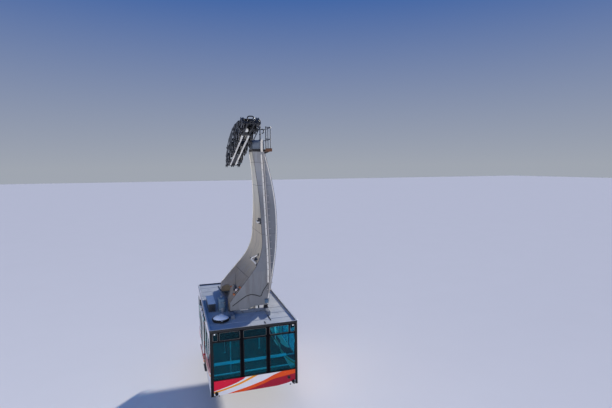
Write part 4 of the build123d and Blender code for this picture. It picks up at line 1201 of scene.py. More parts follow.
def routeBetween(start, end, steps, place):
    return [place(*[a + (b - a) * step / steps for a, b in zip(start, end)]) for step in range(steps + 1)]


def addHangerSeams(settings):
    welds, rims = newMeshes(2)
    radius, flat, past = settings["weld"], settings["rimFlat"], 0.02
    half, top = settings["rimWide"] / 2, hanger["top"] - settings["rimBelowTop"]
    for end in (-1, 1):
        for edge, start in ((leftEdge, hanger["foot"]), (rightEdge, hanger["heelHeight"])):
            rows = heights(start + past, hanger["top"] - past, 46)
            tube(welds, [(edge(z), end * halfDepth(z), z) for z in rows], radius, 6)
        rows = heights(hanger["heelHeight"] + 0.03, top, 42)
        route = [(rightEdge(z) - settings["rimIn"], end * halfDepth(z), z) for z in rows]
        tube(rims, route, half, 8, flat=flat, up=(0, 1, 0))
    rows = heights(hanger["toeHeight"] + past, top, 42)
    route = [(leftEdge(z) + 0.002, halfDepth(z) - 0.004, z) for z in rows]
    tube(rims, route, half, 8, flat=flat, up=(0, 1, 0))
    for height in settings["loops"]:
        left, right, depth = leftEdge(height), rightEdge(height), halfDepth(height)
        loop = [(left, -depth, height), (right, -depth, height), (right, depth, height), (left, depth, height)]
        tube(welds, loop, radius * 0.8, 6, True)
    for start, end in (settings["slopeSeam"], settings["postSeam"]):
        tube(welds, routeBetween(start, end, 8, onLeftFace), radius, 6)
    makePiece("hangerWelds", welds, "cabin", "weldLine")
    makePiece("hangerRims", rims, "cabin", "paleEdge")


def addLug(plates, bright, settings):
    # A bolted plate on the left face with a round bar held off it
    y, z = settings["lug"]
    out = onLeftFace(y, z, 1) - onLeftFace(y, z)
    slab(plates, [onLeftFace(y + a, z + b, -0.004) for a, b in settings["lugShape"]], out * 0.02)
    for a, b in settings["lugBolts"]:
        nut(plates, onLeftFace(y + a, z + b, 0.014), out, 0.022)
    away, level = settings["lugBarOut"], z - settings["lugBarDrop"]
    for a in settings["lugStuds"]:
        rod(plates, onLeftFace(y + a, level, 0.01), onLeftFace(y + a, level, away), 0.024, 14, 0.003)
    start, finish = settings["lugBar"]
    shares = [step / 8 for step in range(9)]
    route = [onLeftFace(y + start + (finish - start) * share,
                        level - settings["lugBarSag"] * math.sin(math.pi * share), away) for share in shares]
    tube(bright, route, 0.032, 12)


def addVee(dark, bright, settings):
    # Two bars that stand out from the left face and meet in a point, with a gusset between them
    upper, tip, lower = settings["vee"]
    out = settings["veeOut"]
    for foot in (upper, lower):
        tube(bright, [onLeftFace(*foot), onLeftFace(*tip, out)], 0.034, 8, flat=0.7)
        rod(dark, onLeftFace(*foot, -0.01), onLeftFace(*foot, 0.03), 0.06, 16, 0.005)
    middles = [[(a + b) / 2 for a, b in zip(foot, tip)] for foot in (upper, lower)]
    plate = [onLeftFace(*[(a + b) / 2 for a, b in zip(upper, lower)])]
    plate += [onLeftFace(*middle, out * 0.4) for middle in middles]
    slab(dark, plate, (0.01, 0.0, 0.012))
    rod(dark, onLeftFace(*tip, out - 0.04), onLeftFace(*tip, out + 0.03), 0.045, 16, 0.004)


def addFootEdges(bands, pads, settings):
    # Rim of the arch, the flange under the toe and the pads under the heel
    half, foot, heel, out = hanger["archHalf"] - 0.02, hanger["foot"], hanger["heelHeight"], hanger["footHalf"]
    for edge in (leftEdge, rightEdge):
        rows = [-half + 2 * half * number / 32 for number in range(33)]
        tube(bands, [(edge(max(archAt(y), heel)), y, archAt(y)) for y in rows], 0.009, 6)
    for end in (-1, 1):
        low, high = settings["flange"]
        block(pads, (low, end * 1.56, foot - 0.016), (high, end * (out + 0.022), foot - 0.001))
        for low, high in settings["pads"]:
            block(pads, (low, end * 1.58, settings["padFoot"]), (high, end * (out - 0.02), heel - 0.004))
        low, high = settings["padGap"]
        block(bands, (low, end * (out - 0.01), settings["padFoot"]), (high, end * (out - 0.05), heel - 0.002))


def addHangerFittings(settings):
    plates, bright, bands, pads, covers, bolts = newMeshes(6)
    addLug(plates, bright, settings)
    addVee(plates, bright, settings)
    addFootEdges(bands, pads, settings)
    wide, tall = settings["coverSize"]
    rim = settings["coverBoltIn"]
    for height in settings["coverRows"]:
        slope = (rightEdge(height + 0.1) - rightEdge(height - 0.1)) / 0.2
        along = Vector((slope, 0, 1)).normalized()
        out = Vector((1, 0, -slope)).normalized()
        centre = Vector((rightEdge(height), 0, height))
        loop = roundedLoop((-wide, -tall), (wide, tall), 0.04, 4)
        slab(covers, [centre + Vector((0, a, 0)) + along * b - out * 0.006 for a, b in loop], out * 0.014)
        for a in (rim - wide, 0, wide - rim):
            for b in (rim - tall, 0, tall - rim):
                if a or b:
                    nut(bolts, centre + Vector((0, a, 0)) + along * b + out * 0.006, out, 0.009)
    makePiece("hangerBrackets", plates, "cabin", "darkSteel", bevel=0.002)
    makePiece("hangerBars", bright, "cabin", "paleEdge")
    makePiece("archRim", bands, "cabin", "darkSteel", bevel=0.002)
    makePiece("footPads", pads, "cabin", "paleEdge", bevel=0.003)
    makePiece("inspectionCovers", covers, "cabin", "hangerPaintAndLight", bevel=0.002)
    makePiece("coverBolts", bolts, "cabin", "galvanised")


headSettings = {
    "left": 0.61, "right": 1.13, "base": 7.1, "top": 7.48, "axle": 7.332, "ringRadius": 0.16, "ringDepth": 0.022,
    "collar": (0.58, 1.14, 0.43), "collarIn": 0.014, "boltIn": 0.05, "davit": (1.04, 0.0, 8.44),
    "strut": (-0.33, -0.02, 0.62), "sleeves": (0.3, 0.62, 0.9), "arm": (0.9, 1.2, 8.02),
    "tray": (0.96, 1.06, 6.97, 7.53), "trayBolts": (7.04, 7.2, 7.36, 7.48), "eyes": (0.1, 0.22, 0.035),
}


def addHeadBolts(bolts, settings):
    left, right, half = settings["collar"]
    inset, base = settings["collarIn"], settings["base"]
    step = (right - left - 2 * settings["boltIn"]) / 5
    for end in (-1, 1):
        for number in range(6):
            nut(bolts, (left + settings["boltIn"] + number * step, end * (half - inset), base), (0, 0, 1), 0.012)
    for number in range(-3, 4):
        nut(bolts, (left + inset, number * 0.125, base), (0, 0, 1), 0.012)
    depth = settings["ringDepth"]
    for side, x in ((-1, settings["left"] - depth), (1, settings["right"] + depth)):
        for place in circle((x, 0, settings["axle"]), settings["ringRadius"], 12, "yz", 0.5):
            nut(bolts, place, (side, 0, 0), 0.011)


def addDavit(davit, cover, bolts, settings):
    # A mast on the head with its foot, strut, sleeves, cross arm and hook
    x, y, high = settings["davit"]
    top = settings["top"]
    lathe(cover, (x, y, top), (0, 0, 1), [(0, 0.085), (0.014, 0.085), (0.018, 0.05), (0.05, 0.044), (0.05, 0.033)], 24)
    for place in circle((x, y, top + 0.014), 0.068, 6, "xy"):
        nut(bolts, place, (0, 0, 1), 0.008)
    tube(davit, [(x, y, high - 0.02), (x, y, high), (x - 0.004, y - 0.03, high + 0.004),
                 (x - 0.02, y - 0.1, high - 0.01)], 0.02, 10)
    across, along, rise = settings["strut"]
    tube(davit, [(x + across, y + along, top + 0.01), (x - 0.01, y, top + rise)], 0.021, 10)
    lathe(davit, (x + across, y + along, top), (0, 0, 1), [(0, 0.05), (0.012, 0.05), (0.03, 0.026)], 16)
    for height in settings["sleeves"]:
        lathe(davit, (x, y, top + height), (0, 0, 1),
              [(-0.022, 0.033), (-0.02, 0.042), (0.02, 0.042), (0.022, 0.033)], 20)
    left, right, level = settings["arm"]
    tube(davit, [(left, y, level), (right - 0.03, y, level), (right, y, level - 0.02), (right + 0.01, y, level - 0.12),
                 (right - 0.03, y, level - 0.19), (right - 0.08, y, level - 0.17)], 0.024, 10)


def addHeadFittings(settings):
    bolts, davit, cover, tray = newMeshes(4)
    addHeadBolts(bolts, settings)
    addDavit(davit, cover, bolts, settings)
    across, along, rise = settings["eyes"]
    for end in (-1, 1):
        for place in (settings["left"] + across, settings["right"] - across):
            lathe(cover, (place, end * along, settings["top"] + rise), (1, 0, 0),
                  [(-0.012, 0.02), (-0.012, 0.045), (0.012, 0.045), (0.012, 0.02)], 18, True)
    # Cable tray that runs on from the duct, up the face of the head
    low, high, bottom, top = settings["tray"]
    face = -settings["collar"][2] - 0.002
    front = face - 0.012
    block(tray, (low, front, bottom), (high, face, top))
    for edge in (low, high - 0.01):
        block(tray, (edge, face - 0.04, bottom), (edge + 0.01, front, top))
    for height in settings["trayBolts"]:
        nut(tray, ((low + high) / 2, front, height), (0, -1, 0), 0.009)
    makePiece("headBolts", bolts, "cabin", "galvanised")
    makePiece("davitFittings", davit, "cabin", "darkSteel")
    makePiece("headEyes", cover, "cabin", "darkSteel")
    makePiece("cableTray", tray, "cabin", "paleEdge", bevel=0.002)


platformLow, platformHigh = onRoof("access_platform")
railingHigh = onRoof("platform_railing")[1].z
platformSettings = {
    "inner": platformLow.x, "outer": platformHigh.x, "half": 0.65, "floor": 7.01, "barStep": 0.033, "tieStep": 0.05,
    "barHeight": 0.006, "railTop": railingHigh - 0.017, "railMiddle": 7.535, "inset": 0.04, "nearPosts": 0.61,
    "farPosts": 0.49, "postRadius": 0.017, "boardTop": 0.1, "boardEdge": 0.012, "boardThick": 0.016,
}


def addPlatformTrim(settings):
    grating, clamps, edge = newMeshes(3)
    inner, outer, half, floor = (settings[name] for name in ("inner", "outer", "half", "floor"))
    rise = settings["barHeight"]
    x = inner + 0.02
    while x < outer - 0.015:
        block(grating, (x - 0.002, 0.012 - half, floor), (x + 0.002, half - 0.012, floor + rise * 2))
        x += settings["barStep"]
    y = 0.02 - half
    while y < half - 0.015:
        block(grating, (inner + 0.008, y - 0.0015, floor), (outer - 0.012, y + 0.0015, floor + rise))
        y += settings["tieStep"]
    near, far = inner + settings["inset"], outer - settings["inset"]
    posts = [(near, end * settings["nearPosts"]) for end in (-1, 1)]
    posts += [(far, end * settings["farPosts"]) for end in (-1, 0, 1)]
    radius = settings["postRadius"]
    for x, y in posts:
        lathe(clamps, (x, y, floor), (0, 0, 1),
              [(0, 0.036), (0.01, 0.036), (0.014, 0.026), (0.045, 0.024), (0.045, radius)], 18)
        for height in (settings["railTop"], settings["railMiddle"]):
            lathe(clamps, (x, y, height - 0.035), (0, 0, 1),
                  [(0, radius), (0, radius + 0.0055), (0.07, radius + 0.0055), (0.07, radius)], 16)
            nut(clamps, (x - 0.022, y, height), (-1, 0, 0), 0.007)
    low, past, thick = floor + settings["boardTop"], 0.004, settings["boardThick"]
    high = low + settings["boardEdge"]
    for end in (-1, 1):
        block(edge, (inner, end * (half + past), low), (outer + past, end * (half - thick), high))
    block(edge, (outer - thick, -half, low), (outer + past, half, high))
    makePiece("platformGrating", grating, "cabin", "galvanised")
    makePiece("railingClamps", clamps, "cabin", "darkSteel")
    makePiece("toeBoardEdge", edge, "cabin", "darkSteel", bevel=0.0015)


footSettings = {
    "columns": ((-0.7, 0.17), (0.82, 0.28)), "row": 1.645, "half": 0.075, "beamTop": 0.15, "boltSize": 0.014,
    "base": (0.105, 0.125, 0.014), "baseBolts": (0.085, 0.105), "headHalf": 0.1, "webHalf": 0.008, "webTop": 0.1,
    "webReach": (0.1, 0.12), "beamBolts": (-2.2, -1.0, -0.45, 0.1, 0.65, 1.2, 2.2), "beamBoltSize": 0.011,
    "beamBoltOut": 0.045, "boxLow": (0.765, -1.8, 0.37), "boxHigh": (0.92, -1.69, 0.53), "boxLip": 0.008,
    "boxFrame": 0.02,
}


def addFootFittings(settings):
    plates, bolts, box = newMeshes(3)
    top, half, thick = settings["beamTop"], settings["half"], settings["webHalf"]
    wide, long, deep = settings["base"]
    low, tall = top + deep, top + settings["webTop"]
    across, along = settings["webReach"]
    for x, head in settings["columns"]:
        for end in (-1, 1):
            y = end * settings["row"]
            block(plates, (x - wide, y - long, top), (x + wide, y + long, low))
            if head - top > 0.05:
                reach = settings["headHalf"]
                block(plates, (x - reach, y - reach, head - deep), (x + reach, y + reach, head - 0.001))
                for side in (-1, 1):
                    web = [(x + side * half, y - thick, low), (x + side * across, y - thick, low),
                           (x + side * half, y - thick, tall)]
                    slab(plates, web, (0, 2 * thick, 0))
                    web = [(x - thick, y + side * half, low), (x - thick, y + side * along, low),
                           (x - thick, y + side * half, tall)]
                    slab(plates, web, (2 * thick, 0, 0))
            out, past = settings["baseBolts"]
            for side in (-1, 1):
                nut(bolts, (x + side * out, y + end * past, low), (0, 0, 1), settings["boltSize"])
        for place in settings["beamBolts"]:
            for side in (-1, 1):
                nut(bolts, (x + side * settings["beamBoltOut"], place, top), (0, 0, 1), settings["beamBoltSize"])
    low, high = settings["boxLow"], settings["boxHigh"]
    lip, frame = settings["boxLip"], settings["boxFrame"]
    block(box, low, high)
    block(box, (low[0] + frame, low[1] - lip, low[2] + frame), (high[0] - frame, low[1], high[2] - frame))
    block(box, (low[0] - lip, low[1] - 0.012, high[2]), (high[0] + lip, high[1], high[2] + lip))
    makePiece("footPlates", plates, "cabin", "darkSteel", bevel=0.003)
    makePiece("footBolts", bolts, "cabin", "darkSteel")
    makePiece("junctionBox", box, "cabin", "boxPaint", bevel=0.006)


linkSettings = {
    "pins": ((-1.58, 1.09), (-1.56, 0.8)), "roller": (-1.5, 0.95), "mark": (-0.3, 0.82), "stand": 0.07,
    "pinRadius": 0.04, "armReach": (0.16, -0.02), "armRadius": 0.03,
    "bracket": ((-0.62, 0.98), (-1.04, 0.98), (-1.16, 0.86), (-1.0, 0.84), (-0.8, 0.9)), "bracketOut": 0.05,
    "rollerShape": ((0, 0), (0, 0.05), (0.012, 0.06), (0.09, 0.06), (0.105, 0.05), (0.105, 0.022), (0.115, 0.018),
                    (0.115, 0)),
}


def addDamperLinks(settings):
    # A painted damper link on the left face beside the near leg, with its roller and bracket
    links, roller, bracket = newMeshes(3)
    stand, thick, radius = settings["stand"], settings["armRadius"], settings["pinRadius"]
    tube(bracket, [onLeftFace(*pin, stand * 0.7) for pin in settings["pins"]], thick, 8, flat=0.6)
    for pin in settings["pins"]:
        rod(links, onLeftFace(*pin, -0.01), onLeftFace(*pin, stand + 0.03), radius, 20, 0.006)
        rod(bracket, onLeftFace(*pin, stand + 0.028), onLeftFace(*pin, stand + 0.045), 0.03, 6)
        hub, side = onLeftFace(*pin), onLeftFace(*[a + b for a, b in zip(pin, settings["armReach"])])
        tube(links, [hub, hub.lerp(side, 0.5), side], thick, 8, flat=0.6)
    spot = settings["roller"]
    out = onLeftFace(*spot, 1) - onLeftFace(*spot)
    lathe(roller, onLeftFace(*spot), out, settings["rollerShape"], 28)
    rod(links, onLeftFace(*settings["mark"], -0.01), onLeftFace(*settings["mark"], 0.04), radius, 16, 0.005)
    slab(bracket, [onLeftFace(a, b, -0.004) for a, b in settings["bracket"]], out * settings["bracketOut"])
    for a, b in settings["bracket"][:3]:
        nut(bracket, onLeftFace(a * 0.97, b - 0.02, 0.045), out, 0.018)
    makePiece("damperLinks", links, "cabin", "orangePaint", bevel=0.003)
    makePiece("damperRoller", roller, "cabin", "paleRubber")
    makePiece("damperBracket", bracket, "cabin", "darkSteel", bevel=0.003)


addHangerSeams(hangerSettings)
addHangerFittings(hangerSettings)
addHeadFittings(headSettings)
addPlatformTrim(platformSettings)
addFootFittings(footSettings)
addDamperLinks(linkSettings)
print("hanger fittings made")


# Carriage, drawn level along Y and turned by onRope to the slope of the wheels' rows

carriage = {
    "gauge": 0.62, "spacing": 0.72, "wheelHeight": 0.195, "rockerPivot": 0.345, "bogiePivot": 0.505,
    "rockerOuter": 0.074, "bogieOuter": 0.098, "mainOuter": 0.126, "pinProud": 0.01, "railTop": 0.1,
    "railReach": 2.762, "web": 0.017, "tubeBase": 0.597, "tubeTop": 0.687,
}
wheelRows = [(number - 3.5) * carriage["spacing"] for number in range(8)]
ropeSides = (("left", -carriage["gauge"] / 2), ("right", carriage["gauge"] / 2))
wheelSettings = {
    "hubBolts": 8, "hubBoltRing": 0.11, "boltSize": 0.008, "linerTread": 0.1705, "linerMouth": 0.2085,
    "linerHalfBase": 0.0118, "linerHalfMouth": 0.034, "linerThick": 0.003,
}


def addWheelTrim(settings):
    # A liner in each groove and a ring of liner bolts on both sides of the web
    thick = settings["linerThick"]
    mouth, base = settings["linerHalfMouth"], settings["linerHalfBase"]
    top, tread = settings["linerMouth"], settings["linerTread"]
    profile = [(-mouth, top), (-base, tread), (base, tread), (mouth, top), (mouth - thick, top + 0.001),
               (base - thick * 0.4, tread + thick), (thick * 0.4 - base, tread + thick), (thick - mouth, top + 0.001)]
    for name, x in ropeSides:
        for number, y in enumerate(wheelRows, start=1):
            liner, bolts = newMeshes(2)
            lathe(liner, (x, y, carriage["wheelHeight"]), (1, 0, 0), profile, 56, True)
            for side in (-1, 1):
                face = (x + side * carriage["web"], y, carriage["wheelHeight"])
                for place in circle(face, settings["hubBoltRing"], settings["hubBolts"], "yz"):
                    nut(bolts, place, (side, 0, 0), settings["boltSize"])
            rides = f"{name}_wheel_{number}"
            makePiece(f"{name}Wheel{number}Liner", liner, rides, "rubber", onRope)
            makePiece(f"{name}Wheel{number}Bolts", bolts, rides, "galvanised", onRope)


fixingSettings = {
    "axleNut": 0.026, "pinCap": 0.05, "capBolt": 0.008, "beamBolt": 0.012, "hubBolt": 0.009, "hubRing": 0.132,
    "axle": 0.19, "axleEnd": -0.4603, "axleEndRing": 0.085, "crossTubes": 0.64,
}


def addPinCap(mesh, place, side, radius, boltSize, count):
    thick = 0.009
    profile = [(0, 0), (0, radius), (0.006, radius), (thick, radius * 0.92), (thick, 0)]
    lathe(mesh, place, (side, 0, 0), profile, 28)
    for spot in circle((place[0] + side * thick, place[1], place[2]), radius * 0.68, count, "yz", 0.5):
        nut(mesh, spot, (side, 0, 0), boltSize)


def addCarriageFixings(settings):
    caps, bolts = newMeshes(2)
    spacing, capBolt = carriage["spacing"], settings["capBolt"]
    for _, x in ropeSides:
        for side in (-1, 1):
            out = (side, 0, 0)
            for y in wheelRows:
                seat = (x + side * carriage["rockerOuter"], y, carriage["wheelHeight"])
                nut(caps, seat, out, settings["axleNut"] * 0.6)
            for y in [(number - 1.5) * 2 * spacing for number in range(4)]:
                seat = (x + side * carriage["bogieOuter"], y, carriage["rockerPivot"])
                addPinCap(caps, seat, side, settings["pinCap"], capBolt, 4)
            face = x + side * carriage["mainOuter"]
            for end in (-1, 1):
                seat = (face + side * carriage["pinProud"], end * 2 * spacing, carriage["bogiePivot"])
                addPinCap(caps, seat, side, settings["pinCap"] * 0.78, capBolt, 4)
                for step in (-1, 1):
                    for height in (carriage["tubeBase"] + 0.02, carriage["tubeTop"] - 0.02):
                        nut(bolts, (face, end * settings["crossTubes"] + step * 0.085, height), out,
                            settings["beamBolt"])
            for spot in circle((face, 0, settings["axle"]), settings["hubRing"], 10, "yz"):
                nut(bolts, spot, out, settings["hubBolt"])
    for spot in circle((settings["axleEnd"], 0, settings["axle"]), settings["axleEndRing"], 6, "yz"):
        nut(bolts, spot, (-1, 0, 0), settings["beamBolt"])
    makePiece("pinCaps", caps, "carriage", "darkSteel", onRope)
    makePiece("beamBolts", bolts, "carriage", "darkSteel", onRope)


brakeSettings = {
    "rail": 0.135, "jawRows": (-2.16, -0.72, 0.72, 2.16), "springPlace": (0.2, 0.06, 0.079), "springRadius": 0.026,
    "springTurns": 5, "springWire": 0.0045, "springRise": 0.07, "hoseRadius": 0.009, "hosePlace": (0.095, 2.5, 0.11),
    "hoseWave": 0.014, "clips": (-2.2, -1.4, -0.3, 0.3, 1.4, 2.2), "clipHalf": (0.016, 0.012),
    "clipSpan": (0.095, 0.122), "boltStep": 0.31, "boltSize": 0.011, "boltFree": 0.1, "crossTubes": 0.64,
}


def addSpring(mesh, foot, settings):
    # A coil on its stem, with a washer on top
    rod(mesh, foot, foot + Vector((0, 0, 0.085)), 0.009, 10)
    lathe(mesh, foot + Vector((0, 0, 0.078)), (0, 0, 1), [(0, 0), (0, 0.032), (0.006, 0.032), (0.006, 0)], 20)
    radius, steps = settings["springRadius"], settings["springTurns"] * 12
    route = []
    for step in range(steps + 1):
        turn = 2 * math.pi * step / 12
        rise = 0.004 + settings["springRise"] * step / steps
        route.append((foot.x + radius * math.cos(turn), foot.y + radius * math.sin(turn), foot.z + rise))
    tube(mesh, route, settings["springWire"], 6)


def addBrakeFittings(settings):
    springs, hoses, bolts = newMeshes(3)
    for side in (-1, 1):
        across, along, base = settings["springPlace"]
        for y in settings["jawRows"]:
            for end in (-1, 1):
                addSpring(springs, Vector((side * across, y + end * along, base)), settings)
        low = 0.1 - carriage["railReach"]
        for number in range(int(-2 * low / settings["boltStep"]) + 1):
            y = low + number * settings["boltStep"]
            if abs(abs(y) - settings["crossTubes"]) > settings["boltFree"]:
                nut(bolts, (side * settings["rail"], y, carriage["railTop"]), (0, 0, 1), settings["boltSize"])
        x, reach, level = settings["hosePlace"]
        route = [(side * x, reach * (number / 20 - 1), level + settings["hoseWave"] * math.sin(number * 1.1 + side))
                 for number in range(41)]
        tube(hoses, route, settings["hoseRadius"], 8)
        wide, long = settings["clipHalf"]
        foot, top = settings["clipSpan"]
        for y in settings["clips"]:
            block(bolts, (side * x - wide, y - long, foot), (side * x + wide, y + long, top))
    makePiece("brakeSprings", springs, "carriage", "darkSteel", onRope)
    makePiece("brakeHoses", hoses, "carriage", "rubber", onRope)
    makePiece("railBolts", bolts, "carriage", "darkSteel", onRope)


coverSettings = {
    "half": 0.182, "low": 0.42, "high": 0.436, "spans": ((-2.35, -0.3), (0.3, 2.66)), "ribStep": 0.34,
    "lip": 0.008, "lipHeight": 0.05, "ribThick": 0.012, "ribDeep": 0.04, "ribFree": (0.12, 0.05), "boltRow": 0.13,
    "boltPast": 0.1, "boltSize": 0.012, "tieLow": (-0.103, 1.3, 0.082), "tieHigh": (0.103, 2.7, 0.095),
}


def addBeamCovers(settings):
    # Ribbed plates between the main beams, over the rails, and a tie plate
    plates, bolts = newMeshes(2)
    half, low, high, lip = (settings[name] for name in ("half", "low", "high", "lip"))
    first, last = settings["ribFree"]
    for start, finish in settings["spans"]:
        block(plates, (-half, start, low), (half, finish, high))
        for edge in (-half, half - lip):
            block(plates, (edge, start, high), (edge + lip, finish, high + settings["lipHeight"]))
        place = start + first
        while place < finish - last:
            block(plates, (0.01 - half, place, low - settings["ribDeep"]),
                  (half - 0.01, place + settings["ribThick"], low))
            for side in (-1, 1):
                seat = (side * settings["boltRow"], place + settings["boltPast"], low)
                nut(bolts, seat, (0, 0, -1), settings["boltSize"])
            place += settings["ribStep"]
    block(plates, settings["tieLow"], settings["tieHigh"])
    makePiece("beamCovers", plates, "carriage", "carriagePaint", onRope, bevel=0.002)
    makePiece("beamCoverBolts", bolts, "carriage", "darkSteel", onRope)


endFittingSettings = {
    "lamp": (0.0, -1.64, 0.22), "lampRadius": 0.1, "pinHeight": 0.065, "pinReach": 0.23, "pinHalf": 0.063,
    "pinRadius": 0.0298, "pinHead": ((0, 0), (0, 0.042), (0.012, 0.042), (0.016, 0.036), (0.016, 0)),
    "knobOut": 0.09, "knobBase": 0.1,
    "knob": ((0, 0), (0, 0.03), (0.012, 0.03), (0.016, 0.014), (0.055, 0.014), (0.062, 0.034), (0.085, 0.04),
             (0.105, 0.03), (0.112, 0)),
    "guideBolts": ((0.03, 0.06), (0.14, 0.06)), "guideHalf": 0.053, "plateBolts": (-0.26, -0.07, 0.07, 0.26),
}


def addEndFittings(settings):
    # Knobs over the end guides, the sockets' pins with their cotters, and the lamp's rim and glass
    knobs, bolts, rim, lens, pins = newMeshes(5)
    half, level = settings["pinHalf"], settings["pinHeight"]
    for end in (-1, 1):
        reach = end * carriage["railReach"]
        for _, x in ropeSides:
            lathe(knobs, (x, reach + end * settings["knobOut"], settings["knobBase"]), (0, 0, 1), settings["knob"], 24)
            for side in (-1, 1):
                for row, height in settings["guideBolts"]:
                    seat = (x + side * settings["guideHalf"], reach + end * row, height)
                    nut(bolts, seat, (side, 0, 0), 0.009)
        for x in settings["plateBolts"]:
            nut(bolts, (x, reach + end * 0.08, level), (0, end, 0), 0.01)
        y = reach + end * settings["pinReach"]
        for side in (-1, 1):
            lathe(pins, (side * half, y, level), (side, 0, 0), settings["pinHead"], 24)
        rod(pins, (-half, y, level), (half, y, level), settings["pinRadius"], 20)
        rod(pins, (half + 0.007, y - 0.045, level), (half + 0.007, y + 0.045, level), 0.004, 8)
    x, y, z = settings["lamp"]
    radius = settings["lampRadius"]
    bezel = [(0.0, radius + 0.022), (0.02, radius + 0.022), (0.028, radius + 0.01), (0.02, radius - 0.004),
             (0.004, radius - 0.004)]
    lathe(rim, (x, y, z), (0, -1, 0), bezel, 40, True)
    for spot in circle((x, y - 0.022, z), radius + 0.012, 6, "xz", 0.5):
        nut(rim, spot, (0, -1, 0), 0.005)
    glass = [(0.002, radius - 0.004), (0.014, radius - 0.012), (0.024, radius * 0.66), (0.03, radius * 0.3), (0.031, 0)]
    lathe(lens, (x, y, z), (0, -1, 0), glass, 40)
    makePiece("guideKnobs", knobs, "carriage", "darkSteel", onRope)
    makePiece("endBolts", bolts, "carriage", "darkSteel", onRope)
    makePiece("lampBezel", rim, "carriage", "darkSteel", onRope)
    makePiece("lampLens", lens, "carriage", "lampLens", onRope)
    makePiece("socketPins", pins, "carriage", "darkSteel", onRope)


addWheelTrim(wheelSettings)
addCarriageFixings(fixingSettings)
addBrakeFittings(brakeSettings)
addBeamCovers(coverSettings)
addEndFittings(endFittingSettings)
print("carriage fittings made")


# Inside and below the cabin

insideSettings = {
    "lampRows": (-2.4, -0.8, 0.8, 2.4), "lampPlace": 0.95, "lampSize": (0.09, 0.55, 0.03), "lampEnd": (0.015, 0.03),
    "stanchionRows": (-2.15, 0.0, 2.15), "stanchionPlace": 0.82, "floorTop": -2.4, "ceiling": -0.06,
    "flange": ((0, 0.055), (0.006, 0.055), (0.012, 0.03), (0.03, 0.025), (0.03, 0.02)),
    "pads": ((-1.4, 1.7, 0.036), (-1.84, 1.0, 0.016)), "padSpan": (-1.6, 1.3), "padPlace": 3.23,
}


def addInside(settings):
    # Pads on the end handrails, flanges of the stanchions and ceiling lamps with their end caps
    flanges, lamps, frames, pads = newMeshes(4)
    low, high = settings["padSpan"]
    wide, long, deep = settings["lampSize"]
    past, thick = settings["lampEnd"]
    ceiling = settings["ceiling"]
    for end in (-1, 1):
        for height, flat, radius in settings["pads"]:
            route = [(-end * x, end * settings["padPlace"], height) for x in (low, high)]
            tube(pads, route, radius, 14, flat=flat, up=(0, 0, 1))
    for side in (-1, 1):
        for y in settings["stanchionRows"]:
            for z, up in ((settings["floorTop"], 1), (ceiling, -1)):
                lathe(flanges, (side * settings["stanchionPlace"], y, z), (0, 0, up), settings["flange"], 24)
        x = side * settings["lampPlace"]
        for y in settings["lampRows"]:
            block(lamps, (x - wide, y - long, ceiling - deep), (x + wide, y + long, ceiling - 0.006))
            for end in (-1, 1):
                block(frames, (x - wide - past, y + end * long, ceiling - deep - 0.004),
                      (x + wide + past, y + end * (long + thick), ceiling))
    makePiece("stanchionFlanges", flanges, "cabin", "handrailSteel")
    makePiece("ceilingLamps", lamps, "cabin", "tubeLight", bevel=0.006)
    makePiece("handrailPads", pads, "cabin", "padGrey")
    makePiece("ceilingLampEnds", frames, "cabin", "darkSteel", bevel=0.003)


underSettings = {
    "bars": (-2.9, -1.45, 0.0, 1.45, 2.9), "sole": 1.15, "bottom": -2.58, "plateHalf": 0.1, "plateThick": 0.008,
    "boltOut": 0.075, "boltSize": 0.012, "eyePlaces": (1.45, 1.61), "eyeSpan": (3.3, 3.345), "eyeDrop": 0.06,
    "eyeHalf": 0.02, "eyeRing": ((0, 0.012), (0, 0.03), (0.044, 0.03), (0.044, 0.012)), "bumper": (1.55, 3.399, -2.49),
    "bumperRing": ((0, 0.05), (0, 0.066), (0.008, 0.066), (0.01, 0.052)),
}


def addUnderside(settings):
    # Bolted joint plates under the sole bars, eyes for the guys and a ring round each bumper
    bolts, plates, eyes = newMeshes(3)
    bottom, half, out = settings["bottom"], settings["plateHalf"], settings["boltOut"]
    under = bottom - settings["plateThick"]
    near, far = settings["eyeSpan"]
    thick, low = settings["eyeHalf"], bottom - settings["eyeDrop"]
    across, along, level = settings["bumper"]
    for side in (-1, 1):
        x = side * settings["sole"]
        for y in settings["bars"]:
            block(plates, (x - half, y - half, under), (x + half, y + half, bottom))
            for a, b in ((-out, -out), (-out, out), (out, -out), (out, out)):
                nut(bolts, (x + a, y + b, under), (0, 0, -1), settings["boltSize"])
        for end in (-1, 1):
            for place in settings["eyePlaces"]:
                x = side * place
                block(eyes, (x - thick, end * near, low), (x + thick, end * far, bottom))
                seat = (x - thick - 0.002, end * (near + far) / 2, low)
                lathe(eyes, seat, (1, 0, 0), settings["eyeRing"], 18, True)
            lathe(plates, (side * across, end * along, level), (0, end, 0), settings["bumperRing"], 28)
    makePiece("jointPlates", plates, "cabin", "darkSteel", bevel=0.002)
    makePiece("underBolts", bolts, "cabin", "galvanised")
    makePiece("guyEyes", eyes, "cabin", "darkSteel", bevel=0.003)


addInside(insideSettings)
addUnderside(underSettings)
print("inside and underside finished")


# Floor, sky and lamps

stageSettings = {
    "floorDrop": 1.1, "floorReach": 300.0, "floorTone": (216, 217, 221), "lowTone": (214, 222, 236),
    "skyTone": (56, 124, 218), "skyTop": 0.4, "skyStrength": 0.52, "sun": (8.0, (1.0, 0.93, 0.82)), "sunAngle": 2.0,
    "sunTurn": -41.0, "sunRise": 14.0, "sunReach": 30.0, "fill": (4000.0, (0.95, 0.97, 1.0), (-14.0, -30.0, -3.0)),
    "side": (3920.0, (1.0, 0.97, 0.92), (-60.0, -10.0, -2.0)), "lampSize": 14.0, "target": (0.0, 0.0, -5.5),
}


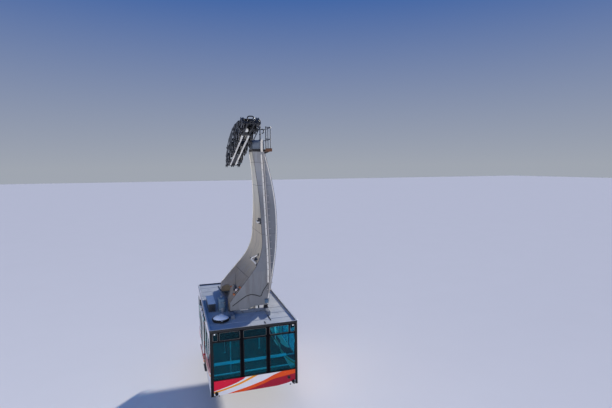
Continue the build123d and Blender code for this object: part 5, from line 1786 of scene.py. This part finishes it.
def addFloor(settings):
    reach = settings["floorReach"]
    level = cadBox[0].z - settings["floorDrop"]
    data = bpy.data.meshes.new("studioFloor")
    corners = [(-reach, -reach, level), (reach, -reach, level), (reach, reach, level), (-reach, reach, level)]
    data.from_pydata(corners, [], [(0, 1, 2, 3)])
    floor = bpy.data.objects.new("studioFloor", data)
    bpy.context.scene.collection.objects.link(floor)
    finish = Finish("studioFloor", Roughness=1.0, Specular_IOR_Level=0.0)
    tone = rgb(*settings["floorTone"])
    finish.colour(finish.mix(finish.noise(0.4, 4), tone, [part * 0.97 for part in tone[:3]] + [1.0]))
    data.materials.append(finish.material)


def addSky(settings):
    world = bpy.data.worlds.new("studioSky")
    bpy.context.scene.world = world
    world.use_nodes = True
    tree = world.node_tree
    back = tree.nodes["Background"]
    where = tree.nodes.new("ShaderNodeTexCoord")
    parts = tree.nodes.new("ShaderNodeSeparateXYZ")
    ramp = tree.nodes.new("ShaderNodeValToRGB")
    tree.links.new(where.outputs["Generated"], parts.inputs[0])
    tree.links.new(parts.outputs["Z"], ramp.inputs[0])
    tree.links.new(ramp.outputs[0], back.inputs["Color"])
    ramp.color_ramp.elements[0].color = rgb(*settings["lowTone"])
    ramp.color_ramp.elements[1].color = rgb(*settings["skyTone"])
    ramp.color_ramp.elements[1].position = settings["skyTop"]
    back.inputs["Strength"].default_value = settings["skyStrength"]


def addLamp(name, kind, power, colour, place, target):
    data = bpy.data.lights.new(name, kind)
    data.energy = power
    data.color = colour
    lamp = bpy.data.objects.new(name, data)
    lamp.location = place
    lamp.rotation_euler = (Vector(target) - Vector(place)).to_track_quat("-Z", "Y").to_euler()
    lamp.visible_camera = False
    bpy.context.scene.collection.objects.link(lamp)
    return data


def addLamps(settings):
    # A low sun from behind on the right, and two wide soft lamps in front and on the left
    turn, rise = math.radians(settings["sunTurn"]), math.radians(settings["sunRise"])
    toSun = Vector((-math.sin(turn) * math.cos(rise), math.cos(turn) * math.cos(rise), math.sin(rise)))
    sun = addLamp("keyLight", "SUN", *settings["sun"], toSun * settings["sunReach"], (0, 0, 0))
    sun.angle = math.radians(settings["sunAngle"])
    for name in ("fill", "side"):
        addLamp(f"{name}Light", "AREA", *settings[name], settings["target"]).size = settings["lampSize"]


addFloor(stageSettings)
addSky(stageSettings)
addLamps(stageSettings)
bpy.context.scene.view_settings.view_transform = "Standard"
print("stage set")
